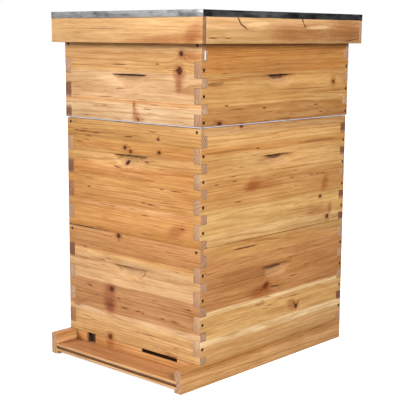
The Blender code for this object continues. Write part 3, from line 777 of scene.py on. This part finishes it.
def extruded_mesh(name, outline, depth, radius):
    """A flat outline, given as points in the hive's frame, pushed along a vector and rounded."""
    mesh = bmesh.new()
    face = mesh.faces.new([mesh.verts.new(point) for point in outline])
    pushed = bmesh.ops.extrude_face_region(mesh, geom=[face])["geom"]
    verts = [item for item in pushed if isinstance(item, bmesh.types.BMVert)]
    bmesh.ops.translate(mesh, verts=verts, vec=Vector(depth))
    bmesh.ops.recalc_face_normals(mesh, faces=mesh.faces)
    round_edges(mesh, radius)
    return finish_mesh(mesh, name)


# Bottom board and boxes


def within(value, low, high, margin):
    return low + margin < value < high - margin


def in_groove(centre, low, high):
    """True inside the groove along the floor's front edge, whose faces are given painted shade."""
    return 0.5 * MM < centre.y - low.y < 12 * MM and within(centre.z, low.z, high.z, 2 * MM)


def in_opening(centre, low, high):
    """True inside the entrance reducer's slot and notch, whose faces are given painted shade."""
    inside = within(centre.y, low.y, high.y, 0.5 * MM) and within(centre.z, low.z, high.z, 1 * MM)
    return inside and abs(centre.x) < high.x - 5 * MM


def hold_marks(height, side):
    """The cut of a hand hold, paler partly for its fresh wood and partly as painted light over the scoop's
    shading, and a painted shadow along its top, for a board so high.
    """
    top = height - 70
    cut = ("cut", 0, top - 15, 46, 14)
    if side:
        # painted shadow under the top edge of a side board's hold, and a dark painted line along that edge
        return [cut, ("dark", -6, top - 5, 30, 5), ("slit", -2, top - 1.8, 42, 2.2)]
    # a dark painted line of shadow along the top edge of the hold
    return [cut, ("slit", 0, top - 1.4, 52, 2)]


class HIVE_OT_bottom_board(Operator):
    """Finishes the rails, the tongued floor planks and the rear bar"""

    bl_idname = "hive.bottom_board"
    bl_label = "Bottom board"

    def execute(self, context):
        floor = ("russet", "brown", "russet")
        board("rail_left", "bottom_board", ALONG, flecks=0.6)
        board("rail_right", "bottom_board", ALONG, flecks=0.6)
        board("rear_bar", "bottom_board", ACROSS, [(49, "brown")], [], 0.6)
        front = "floor_plank_front"
        board(front, "bottom_board", FLAT_ACROSS, None, [], 0.5, deep=in_groove, dirt=0.4)
        board("floor_plank_rear", "bottom_board", FLAT_ACROSS, tones=floor, flecks=0.5)
        return {"FINISHED"}


class HIVE_OT_entrance_reducer(Operator):
    """Finishes the loose stick that narrows the entrance"""

    bl_idname = "hive.entrance_reducer"
    bl_label = "Entrance reducer"

    def execute(self, context):
        board("entrance_reducer", "reducer", ACROSS, flecks=0.4, deep=in_opening)
        return {"FINISHED"}


class HIVE_OT_boxes(Operator):
    """Finishes the four finger-jointed boards of each box"""

    bl_idname = "hive.boxes"
    bl_label = "Boxes"

    def execute(self, context):
        for box in BOXES:
            for side, axes in SIDES:
                node = f"{box}_{side}"
                low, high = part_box(node)
                middle = (0, 0.0) if axes == ACROSS else (1, STACK_Y)
                board(
                    node, box, axes, extra=hold_marks((high.z - low.z) / MM, axes == ALONG),
                    keep_sharp=lambda edge: in_hand_hold(edge, middle, high.z),
                )
        return {"FINISHED"}


# Nails

NAIL_DROP = 8 * MM  # below the top edge, in the end boards
NAIL_INSET = 11.5 * MM  # from a side face, in the end boards
FINGER_INSET = 7.5 * MM  # from an end face, in the side boards' fingers
FINGER_MIDDLES = (56.5, 108.9, 161.3, 213.7)  # mm below the top edge
FILLER_LOW, FILLER_HIGH = (-1, 9, -36), (0.15, 13, -18)  # mm from the super's front right top corner
NAIL_SIDES = 16


def add_nail(mesh, place, outward, radius, proud):
    """A low domed head, standing a little out of the face that it is driven into."""
    profile = [(0.0, proud), (0.55, proud * 0.9), (0.88, proud * 0.55), (1.0, 0.0), (0.95, -0.6 * MM)]
    rings = []
    turn = Vector((0, 0, 1)).rotation_difference(Vector(outward))
    for share, height in profile:
        ring = []
        for i in range(1 if share == 0 else NAIL_SIDES):
            angle = 2 * math.pi * i / NAIL_SIDES
            local = Vector((share * radius * math.cos(angle), share * radius * math.sin(angle), height))
            ring.append(mesh.verts.new(Vector(place) + turn @ local))
        rings.append(ring)
    for inner, outer in zip(rings, rings[1:]):
        for i in range(NAIL_SIDES):
            following = (i + 1) % NAIL_SIDES
            if len(inner) == 1:
                mesh.faces.new((inner[0], outer[i], outer[following]))
            else:
                mesh.faces.new((inner[i], outer[i], outer[following], inner[following]))
    mesh.faces.new(list(reversed(rings[-1])))


def box_nails(box):
    """Where a box's nails are, as (place, outward)."""
    low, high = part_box(f"{box}_left")
    half_x, base, top = -low.x, low.z, high.z
    front, rear = low.y, high.y
    spots = []
    for side in (-1, 1):
        for y, facing in ((front, -1), (rear, 1)):
            spots.append(((side * (half_x - NAIL_INSET), y, top - NAIL_DROP), (0, facing, 0)))
            for drop in FINGER_MIDDLES:
                height = top - drop * MM
                if height > base + 8 * MM:
                    spots.append(((side * half_x, y - facing * FINGER_INSET, height), (side, 0, 0)))
    return spots


def iron_material():
    metal = bpy.context.scene.hive_metal
    material, graph, shader = new_material("nail_iron")
    place = graph.place()
    rust = graph.step(graph.noise(place, (420, 420, 420), 3.0), 0.45, 0.7)
    colour = graph.mix(rust, tuple(metal.iron), (0.05, 0.035, 0.022))
    roughness = graph.step(rust, 0.0, 1.0, 0.38, 0.75)
    shader["Metallic"].default_value = 0.4
    dress(graph, shader, colour, roughness, graph.noise(place, (900, 900, 900)), 0.2 * MM)
    return material


class HIVE_OT_nails(Operator):
    """Drives the nails of the boxes' corner joints, and fills one gap in a joint"""

    bl_idname = "hive.nails"
    bl_label = "Nails"

    def execute(self, context):
        iron = iron_material()
        for box in BOXES:
            mesh = bmesh.new()
            for place, outward in box_nails(box):
                add_nail(mesh, place, outward, context.scene.hive_metal.nail_radius, 0.35 * MM)
            show(finish_mesh(mesh, f"{box}_nails"), iron, box)
        low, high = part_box("super_right")
        corner = Vector((high.x, low.y, high.z))
        mesh = bmesh.new()
        add_box(mesh, corner + Vector(FILLER_LOW) * MM, corner + Vector(FILLER_HIGH) * MM)
        round_edges(mesh, 0.4 * MM)
        filler = plastic_material("filler", (0.80, 0.78, 0.74))
        show(finish_mesh(mesh, "super_filler"), filler, "super")
        return {"FINISHED"}


# Frames

SHOULDER_RUN = 12 * MM  # over which an end bar narrows under its shoulders
FRAME_EDGE = 0.5 * MM


def frame_sizes(node):
    """Where one frame's bars lie, read from its CAD box and its node's corners."""
    low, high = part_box(node)
    corners = [vert.co for vert in frame["nodes"][node].data.vertices]
    below = [corner for corner in corners if corner.z < high.z - 30 * MM]
    return {
        "x": (low.x + high.x) / 2,
        "shoulder": (high.x - low.x) / 2,
        "lug": (low.y, high.y),
        "bar": (min(c.y for c in below), max(c.y for c in below)),
        "bottom": low.z,
        "top": high.z,
    }


TOP_BAR_HALF, TOP_BAR_DEPTH, LUG_DEPTH = 13.5 * MM, 19 * MM, 9.5 * MM
END_BAR_HALF, END_BAR_THICKNESS, SHOULDER_DEPTH = 13.5 * MM, 9.5 * MM, 76 * MM
BOTTOM_BAR_HALF, BOTTOM_BAR_DEPTH = 9.5 * MM, 9.5 * MM


def top_bar_mesh(name, at):
    """A top bar whose ends are thinned to lugs by a short slope."""
    front, rear = at["bar"]
    inner_front, inner_rear = front + END_BAR_THICKNESS, rear - END_BAR_THICKNESS
    top, under, lug = at["top"], at["top"] - TOP_BAR_DEPTH, at["top"] - LUG_DEPTH
    profile = [(at["lug"][0], top), (at["lug"][0], lug), (inner_front, lug), (inner_front, under),
               (inner_rear, under), (inner_rear, lug), (at["lug"][1], lug), (at["lug"][1], top)]
    outline = [(at["x"] - TOP_BAR_HALF, y, z) for y, z in profile]
    return extruded_mesh(name, outline, (2 * TOP_BAR_HALF, 0, 0), FRAME_EDGE)


def end_bar_mesh(name, at, y):
    """An end bar with wide shoulders that space the frames, narrowing to a parallel foot."""
    top, bottom = at["top"] - LUG_DEPTH - 0.2 * MM, at["bottom"]
    neck = at["top"] - SHOULDER_DEPTH
    wide, narrow = at["shoulder"], END_BAR_HALF
    half = [(wide, top), (wide, neck + SHOULDER_RUN), (narrow + 1.5 * MM, neck + 2 * MM), (narrow, neck)]
    half.append((narrow, bottom))
    outline = [(at["x"] + x, y, z) for x, z in half] + [(at["x"] - x, y, z) for x, z in reversed(half)]
    return extruded_mesh(name, outline, (0, END_BAR_THICKNESS, 0), FRAME_EDGE)


def bottom_bar_mesh(name, at):
    mesh = bmesh.new()
    front, rear = at["bar"]
    add_box(
        mesh,
        (at["x"] - BOTTOM_BAR_HALF, front + END_BAR_THICKNESS + 0.1 * MM, at["bottom"] + 0.2 * MM),
        (at["x"] + BOTTOM_BAR_HALF, rear - END_BAR_THICKNESS - 0.1 * MM, at["bottom"] + BOTTOM_BAR_DEPTH),
    )
    round_edges(mesh, FRAME_EDGE)
    return finish_mesh(mesh, name)


def foundation_mesh(name, at):
    """The wax sheet, gently bowed between its bars."""
    front, rear = at["bar"][0] + END_BAR_THICKNESS, at["bar"][1] - END_BAR_THICKNESS
    low, high = at["bottom"] + BOTTOM_BAR_DEPTH - 1.5 * MM, at["top"] - TOP_BAR_DEPTH + 1.5 * MM
    columns, rows, half = 22, 10, 0.8 * MM
    mesh = bmesh.new()
    sides = []
    for side in (-1, 1):
        grid = []
        for j in range(rows + 1):
            line = []
            for i in range(columns + 1):
                across, up = i / columns, j / rows
                bow = 0.9 * MM * math.sin(math.pi * across) * math.sin(math.pi * up) * math.sin(7 * across)
                line.append(mesh.verts.new((
                    at["x"] + side * half + bow, front + (rear - front) * across, low + (high - low) * up,
                )))
            grid.append(line)
        for lower, upper in zip(grid, grid[1:]):
            for i in range(columns):
                mesh.faces.new((lower[i], lower[i + 1], upper[i + 1], upper[i]))
        sides.append(grid)
    left, right = sides
    rim = [(j, 0) for j in range(rows)] + [(rows, i) for i in range(columns)]
    rim += [(j, columns) for j in range(rows, 0, -1)] + [(0, i) for i in range(columns, 0, -1)]
    for (j, i), (k, h) in zip(rim, rim[1:] + rim[:1]):
        mesh.faces.new((left[j][i], left[k][h], right[k][h], right[j][i]))
    return finish_mesh(mesh, name)


def wax_material():
    """Foundation pressed with hexagonal cells, lighter along their walls."""
    comb = bpy.context.scene.hive_comb
    material, graph, shader = new_material("foundation_wax")
    place = graph.place()
    axes = graph.split(place)
    wide, tall = comb.cell, comb.cell * math.sqrt(3)
    squares = []
    for shift in (0.0, 0.5):
        parts = []
        for axis, pitch in ((axes[1], wide), (axes[2], tall)):
            turn = graph.math("FRACT", graph.plus(graph.over(axis, pitch), shift))
            part = graph.times(graph.minus(turn, 0.5), pitch / comb.cell)
            parts.append(graph.times(part, part))
        squares.append(graph.plus(*parts))
    wall = graph.step(graph.math("MINIMUM", *squares), 0.13, 0.26)
    patch = graph.step(graph.noise(place, (30, 30, 30), 3.0), 0.35, 0.7)
    wax = tuple(comb.wax)
    dark = tuple(c * k for c, k in zip(wax, (0.78, 0.66, 0.5)))
    light = tuple(min(1.0, c * k) for c, k in zip(wax, (1.25, 1.35, 1.7)))
    colour = graph.mix(graph.times(patch, 0.5), wax, dark)
    colour = graph.mix(wall, graph.mix(0.25, colour, dark), graph.mix(0.5, colour, light))
    dress(graph, shader, colour, graph.step(wall, 0.0, 1.0, 0.42, 0.3), wall, 0.8 * MM, 0.8)
    return material


def frame_timber_material(name, axes):
    """Plain pale pine for the bars, from one long board."""
    low, high = CAD_BOX
    return timber_material(name, axes, low, high, [((high - low)[AXES[axes][1]] / MM, "pale")], [], 0.25)


class HIVE_OT_frames(Operator):
    """Builds the bars and the foundation of every hanging frame"""

    bl_idname = "hive.frames"
    bl_label = "Frames"

    def execute(self, context):
        lengthwise = frame_timber_material("bar_timber", FLAT_ALONG)
        upright = frame_timber_material("end_bar_timber", UPRIGHT)
        wax = wax_material()
        for group in FRAME_SETS:
            for body in sorted(name for name in frame["bodies"] if name.startswith(f"{group}_")):
                at = frame_sizes(body)
                show(top_bar_mesh(f"{body}_top_bar", at), lengthwise, body, body)
                for end, y in (("front", at["bar"][0]), ("rear", at["bar"][1] - END_BAR_THICKNESS)):
                    show(end_bar_mesh(f"{body}_{end}_bar", at, y), upright, body)
                show(bottom_bar_mesh(f"{body}_bottom_bar", at), lengthwise, body)
                show(foundation_mesh(f"{body}_foundation", at), wax, body)
        return {"FINISHED"}


# Queen excluder

EXCLUDER_REACH = 1.9 * MM  # brings its edge flush with the box above
EXCLUDER_THINNED = 0.9 * MM  # how much its underside lies above the rims that it rests on
EXCLUDER_BORDER, EXCLUDER_BRIDGE, EXCLUDER_RIB = 11 * MM, 5 * MM, 4.6 * MM


def slot_lines(low, high, count, solid):
    """The sheet's edges and, between them, where slots begin and end with so much solid between two."""
    pitch = (high - low - 2 * EXCLUDER_BORDER + solid) / count
    lines = [low, low + EXCLUDER_BORDER]
    for i in range(count):
        start = low + EXCLUDER_BORDER + i * pitch
        lines += [start + pitch - solid] + ([start + pitch] if i < count - 1 else [])
    return [*lines, high]


def excluder_mesh(low, high, rows, columns):
    """A sheet with rows of long slots between narrow ribs, inside a plain border."""
    xs = slot_lines(low.x, high.x, rows, EXCLUDER_RIB)
    ys = slot_lines(low.y, high.y, columns, EXCLUDER_BRIDGE)
    mesh = bmesh.new()
    grid = [[mesh.verts.new((x, y, high.z)) for x in xs] for y in ys]
    for j in range(len(ys) - 1):
        for i in range(len(xs) - 1):
            if not (i % 2 and j % 2):
                mesh.faces.new((grid[j][i], grid[j][i + 1], grid[j + 1][i + 1], grid[j + 1][i]))
    return thicken(mesh, "queen_excluder_sheet", high.z - low.z)


def plastic_material(name, colour):
    material, graph, shader = new_material(name)
    place = graph.place()
    soft = graph.step(graph.noise(place, (25, 25, 25), 3.0), 0.3, 0.7)
    grime = graph.step(graph.noise(place, (6, 6, 90)), 0.5, 0.75)
    tone = graph.mix(soft, colour, scaled(colour, 0.9))
    tone = graph.mix(graph.times(grime, 0.35), tone, scaled(colour, 0.6))
    roughness = graph.step(soft, 0.0, 1.0, 0.34, 0.5)
    dress(graph, shader, tone, roughness, graph.noise(place, (300, 300, 300)), 0.1 * MM, 0.3)
    return material


class HIVE_OT_excluder(Operator):
    """Builds the slotted queen excluder"""

    bl_idname = "hive.excluder"
    bl_label = "Queen excluder"

    def execute(self, context):
        comb = context.scene.hive_comb
        low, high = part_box("queen_excluder")
        reach = Vector((EXCLUDER_REACH, EXCLUDER_REACH, 0))
        low, high = low - reach, high + reach
        low.z += EXCLUDER_THINNED
        data = excluder_mesh(low, high, comb.excluder_rows, comb.excluder_columns)
        plastic = plastic_material("excluder_plastic", tuple(comb.excluder))
        show(data, plastic, "excluder", "queen_excluder")
        return {"FINISHED"}


# Covers


class HIVE_OT_inner_cover(Operator):
    """Finishes the inner cover's rim strips and its panel"""

    bl_idname = "hive.inner_cover"
    bl_label = "Inner cover"

    def execute(self, context):
        for side, axes in SIDES:
            board(f"inner_cover_{side}", "inner_cover", axes, [(42, "honey")], [], 0.5)
        board("inner_cover_panel", "inner_cover", FLAT_ALONG, tones=("pale", "honey", "pale"))
        return {"FINISHED"}


class HIVE_OT_outer_cover(Operator):
    """Finishes the outer cover's rim boards and deck"""

    bl_idname = "hive.outer_cover"
    bl_label = "Outer cover"

    def execute(self, context):
        for side, axes in SIDES:
            board(f"cover_{side}", "outer_cover", axes, flecks=0.4, figure=0.35)
        board("cover_deck", "outer_cover", FLAT_ALONG)
        return {"FINISHED"}


SHEET_PROUD = 0.4 * MM  # how far the corner flaps and nail heads stand out of the sheet's wall
SHEET_THICKNESS = 0.5 * MM
SHEET_BEND = 1.2 * MM
LIP_NAIL_RADIUS = 1.9 * MM
LIP_NAILS = (-0.97, -0.5, 0.0, 0.5, 0.97)  # along each side of the lip, as a share of its half length


def sheet_mesh(low, high):
    """A tray of thin sheet turned down over the rim, with rounded bends and a slightly uneven lip."""
    mesh = bmesh.new()
    inset = Vector((SHEET_PROUD, SHEET_PROUD, 0))
    add_box(mesh, low + inset, high - inset)
    bmesh.ops.delete(mesh, geom=[face for face in mesh.faces if face.normal.z < -0.5], context="FACES")
    folds = [edge for edge in mesh.edges if len(edge.link_faces) == 2]
    bevel(mesh, folds, SHEET_BEND, 3)
    long_edges = [edge for edge in mesh.edges if edge.calc_length() > 0.3]
    bmesh.ops.subdivide_edges(mesh, edges=long_edges, cuts=24, use_grid_fill=True)
    for vert in mesh.verts:
        if vert.co.z < low.z + 0.1 * MM:
            run = vert.co.x * 37 + vert.co.y * 23
            vert.co.z += 0.25 * MM * (1 + math.sin(run) * math.cos(run * 1.7))
    return thicken(mesh, "cover_sheet_metal", SHEET_THICKNESS)


def flap_mesh(low, high, width):
    """The flap folded round each corner from the ends on to the sides."""
    mesh = bmesh.new()
    for side in (-1, 1):
        for end in (-1, 1):
            x_out = side * (high.x - 0.05 * MM)
            x_in = side * (high.x - SHEET_PROUD - 0.1 * MM)
            y_out = STACK_Y + end * ((high.y - low.y) / 2 - SHEET_BEND - SHEET_PROUD)
            y_in = y_out - end * width
            xs, ys = sorted((x_in, x_out)), sorted((y_in, y_out))
            verts = add_box(mesh, (xs[0], ys[0], low.z + 0.6 * MM), (xs[1], ys[1], high.z - 1.6 * MM))
            for vert in verts:
                if vert.co.z < low.z + 2 * MM and abs(vert.co.y - y_in) < 0.1 * MM:
                    vert.co.y += end * width * 0.35
    round_edges(mesh, 0.12 * MM, 1)
    return finish_mesh(mesh, "cover_sheet_flaps")


def zinc_material():
    """Weathered galvanised sheet: soft spangles, pale bloom, scratches and dull grey patches."""
    zinc = tuple(bpy.context.scene.hive_metal.zinc)
    material, graph, shader = new_material("galvanised_sheet")
    place = graph.place()
    spangle = graph.add("ShaderNodeTexVoronoi", {"Vector": place, "Scale": 95.0}, feature="F1")
    spangle = graph.split(spangle.outputs["Color"])[0]
    cloud = graph.noise(place, (24, 24, 50), 4.0, 0.6)
    bloom = graph.step(graph.noise(place, (9, 9, 60), 4.0, 0.65), 0.48, 0.68)
    scratch = graph.step(graph.noise(place, (30, 30, 900)), 0.62, 0.7)
    colour = graph.mix(graph.step(cloud, 0.35, 0.65), scaled(zinc, 0.72), scaled(zinc, 1.18))
    for amount, brightness in ((graph.times(spangle, 0.25), 1.5), (graph.times(bloom, 0.55), 1.7),
                               (graph.times(scratch, 0.35), 0.45)):
        colour = graph.mix(amount, colour, scaled(zinc, brightness))
    dust = graph.step(graph.facing()[2], 0.6, 0.95, 0.0, 0.55)
    dusty = graph.mix(graph.step(cloud, 0.3, 0.7), (0.34, 0.34, 0.34), (0.46, 0.46, 0.47))
    graph.feed(shader["Metallic"], graph.minus(graph.step(bloom, 0.0, 1.0, 1.0, 0.82), dust))
    rough = graph.plus(graph.step(cloud, 0.3, 0.7, 0.26, 0.42), graph.times(spangle, 0.08))
    dress(graph, shader, graph.mix(dust, colour, dusty), rough, cloud, 1.2 * MM, 0.35)
    return material


class HIVE_OT_cover_sheet(Operator):
    """Builds the metal sheet over the cover, its corner flaps and its nails"""

    bl_idname = "hive.cover_sheet"
    bl_label = "Cover sheet"

    def execute(self, context):
        metal = context.scene.hive_metal
        low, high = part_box("cover_sheet")
        zinc = zinc_material()
        show(sheet_mesh(low, high), zinc, "outer_cover", "cover_sheet")
        show(flap_mesh(low, high, metal.sheet_corner), zinc, "outer_cover")
        mesh = bmesh.new()
        height = (low.z + high.z) / 2 - 1 * MM
        half_x, half_y = high.x - SHEET_PROUD, (high.y - low.y) / 2 - SHEET_PROUD
        for share in LIP_NAILS:
            for side in (-1, 1):
                for place, outward in (
                    ((side * half_x, STACK_Y + share * half_y, height), (side, 0, 0)),
                    ((share * half_x, STACK_Y + side * half_y, height), (0, side, 0)),
                ):
                    add_nail(mesh, place, outward, LIP_NAIL_RADIUS, SHEET_PROUD)
        show(finish_mesh(mesh, "cover_sheet_nails"), zinc, "outer_cover")
        return {"FINISHED"}


# Stage

CAMERA_PLACE = (1.5669, -1.7177, 0.7256)
CAMERA_TURN = (80.757, 42.587, 0.314)  # pitch from straight down, heading, and roll, in degrees
DARK_SIDE = (0.66, 0.74, 0.12)  # the unlit end of the studio; a bright wall faces it


def make_world(studio):
    """Even white light, with one dim side.  The camera sees plain white."""
    world = bpy.data.worlds.new("studio")
    bpy.context.scene.world = world
    world.use_nodes = True
    graph = Graph(world.node_tree)
    shader = world.node_tree.nodes["Background"]
    toward = graph.add("ShaderNodeTexCoord").outputs["Generated"]
    facing = graph.vector("DOT_PRODUCT", toward, Vector(DARK_SIDE).normalized())
    dim = graph.step(facing, 0.45, 0.85, 1.0, 0.05)
    wall = graph.step(graph.times(facing, -1.0), 0.75, 0.97, 0.0, 1.2)
    rise = graph.math("ABSOLUTE", graph.split(toward)[2])
    wall = graph.times(wall, graph.step(rise, 0.12, 0.3, 1.0, 0.0))
    dim = graph.plus(dim, wall)
    seen = graph.add("ShaderNodeLightPath").outputs["Is Camera Ray"]
    strength = graph.math("MAXIMUM", graph.times(dim, studio.sky), seen)
    graph.feed(shader.inputs["Color"], (1.0, 1.0, 1.0))
    graph.feed(shader.inputs["Strength"], strength)


LIGHT_COLOUR = (1.0, 0.985, 0.96)
PANEL_DISTANCE, PANEL_SIZE = 4.5, 1.8


def add_lamp(name, kind, toward, distance):
    light = bpy.data.lights.new(name, kind)
    light.color = LIGHT_COLOUR
    lamp = bpy.data.objects.new(name, light)
    bpy.context.scene.collection.objects.link(lamp)
    toward = Vector(toward).normalized()
    lamp.location = toward * distance + Vector((0, 0, 0.35))
    lamp.rotation_euler = toward.to_track_quat("Z", "Y").to_euler()
    return light


def add_sun(name, toward, strength, softness):
    light = add_lamp(name, "SUN", toward, 4)
    light.energy = strength
    light.angle = math.radians(softness)


def add_panel(name, toward, strength):
    """A square panel that gives the hive so much light, a little less at its far side."""
    light = add_lamp(name, "AREA", toward, PANEL_DISTANCE)
    light.shape = "SQUARE"
    light.size = PANEL_SIZE
    light.energy = strength * math.pi * PANEL_DISTANCE ** 2


def add_camera(studio):
    data = bpy.data.cameras.new("camera")
    data.sensor_width = 36.0
    data.lens = studio.lens
    data.clip_end = 200.0
    camera = bpy.data.objects.new("camera", data)
    bpy.context.scene.collection.objects.link(camera)
    pitch, heading, roll = (math.radians(angle) for angle in CAMERA_TURN)
    turn = Matrix.Rotation(heading, 4, "Z") @ Matrix.Rotation(pitch, 4, "X") @ Matrix.Rotation(roll, 4, "Z")
    camera.matrix_world = Matrix.Translation(CAMERA_PLACE) @ turn
    bpy.context.scene.camera = camera


BOUNCE = 0.33  # how pale the floor is to the hive; the camera sees it white


def add_floor(studio):
    mesh = bmesh.new()
    bmesh.ops.create_grid(mesh, x_segments=4, y_segments=4, size=studio.floor_size / 2)
    bmesh.ops.translate(mesh, verts=mesh.verts, vec=(0, 0, -0.4 * MM))
    data = finish_mesh(mesh, "floor")
    material, graph, shader = new_material("floor_paint")
    soft = graph.noise(graph.place(), (3, 3, 3))
    seen = graph.add("ShaderNodeLightPath").outputs["Is Camera Ray"]
    tone = graph.mix(soft, tuple(studio.floor), scaled(studio.floor, 0.985))
    graph.feed(shader["Base Color"], graph.mix(seen, (BOUNCE, BOUNCE, BOUNCE), tone))
    shader["Emission Color"].default_value = (1.0, 1.0, 1.0, 1.0)
    graph.feed(shader["Emission Strength"], graph.times(seen, studio.floor_glow))
    shader["Roughness"].default_value = 0.9
    shader["Specular IOR Level"].default_value = 0.1
    data.materials.append(material)
    floor = bpy.data.objects.new("floor", data)
    bpy.context.scene.collection.objects.link(floor)


class HIVE_OT_stage(Operator):
    """Lays the floor and sets the light and the camera"""

    bl_idname = "hive.stage"
    bl_label = "Stage"

    def execute(self, context):
        studio = context.scene.hive_studio
        add_floor(studio)
        make_world(studio)
        add_sun("left_light", (-0.42, -0.80, 0.38), studio.left_light, 22)
        add_sun("back_light", (-0.62, 0.74, 0.30), studio.back_light, 30)
        add_panel("right_light", (0.82, -0.36, 0.40), studio.right_light)
        add_camera(studio)
        context.scene.view_settings.view_transform = "Standard"
        context.scene.view_settings.look = "None"
        return {"FINISHED"}


# Add-on

STEPS = (
    HIVE_OT_bottom_board, HIVE_OT_entrance_reducer, HIVE_OT_boxes, HIVE_OT_nails, HIVE_OT_frames,
    HIVE_OT_excluder, HIVE_OT_inner_cover, HIVE_OT_outer_cover, HIVE_OT_cover_sheet, HIVE_OT_stage,
)
SETTINGS = {
    "hive_timber": HiveTimber, "hive_metal": HiveMetal, "hive_comb": HiveComb, "hive_studio": HiveStudio,
}


class VIEW3D_PT_hive(Panel):
    """Sizes, colours and steps of the hive"""

    bl_label = "Beehive"
    bl_space_type = "VIEW_3D"
    bl_region_type = "UI"
    bl_category = "Beehive"

    def draw(self, context):
        for step in STEPS:
            self.layout.operator(step.bl_idname)
        for name, group in SETTINGS.items():
            box = self.layout.box()
            box.label(text=group.__doc__)
            for prop in group.__annotations__:
                box.prop(getattr(context.scene, name), prop)


def register():
    for group in SETTINGS.values():
        bpy.utils.register_class(group)
    for step in (*STEPS, VIEW3D_PT_hive):
        bpy.utils.register_class(step)
    for name, group in SETTINGS.items():
        setattr(bpy.types.Scene, name, PointerProperty(type=group))


def unregister():
    for name in SETTINGS:
        delattr(bpy.types.Scene, name)
    for step in reversed((*STEPS, VIEW3D_PT_hive)):
        bpy.utils.unregister_class(step)
    for group in reversed(SETTINGS.values()):
        bpy.utils.unregister_class(group)


def main():
    register()
    timber = bpy.context.scene.hive_timber
    make_mark_group()
    make_timber_group(timber)
    for step in STEPS:
        module, name = step.bl_idname.split(".")
        getattr(getattr(bpy.ops, module), name)()


if __name__ == "__main__":
    main()
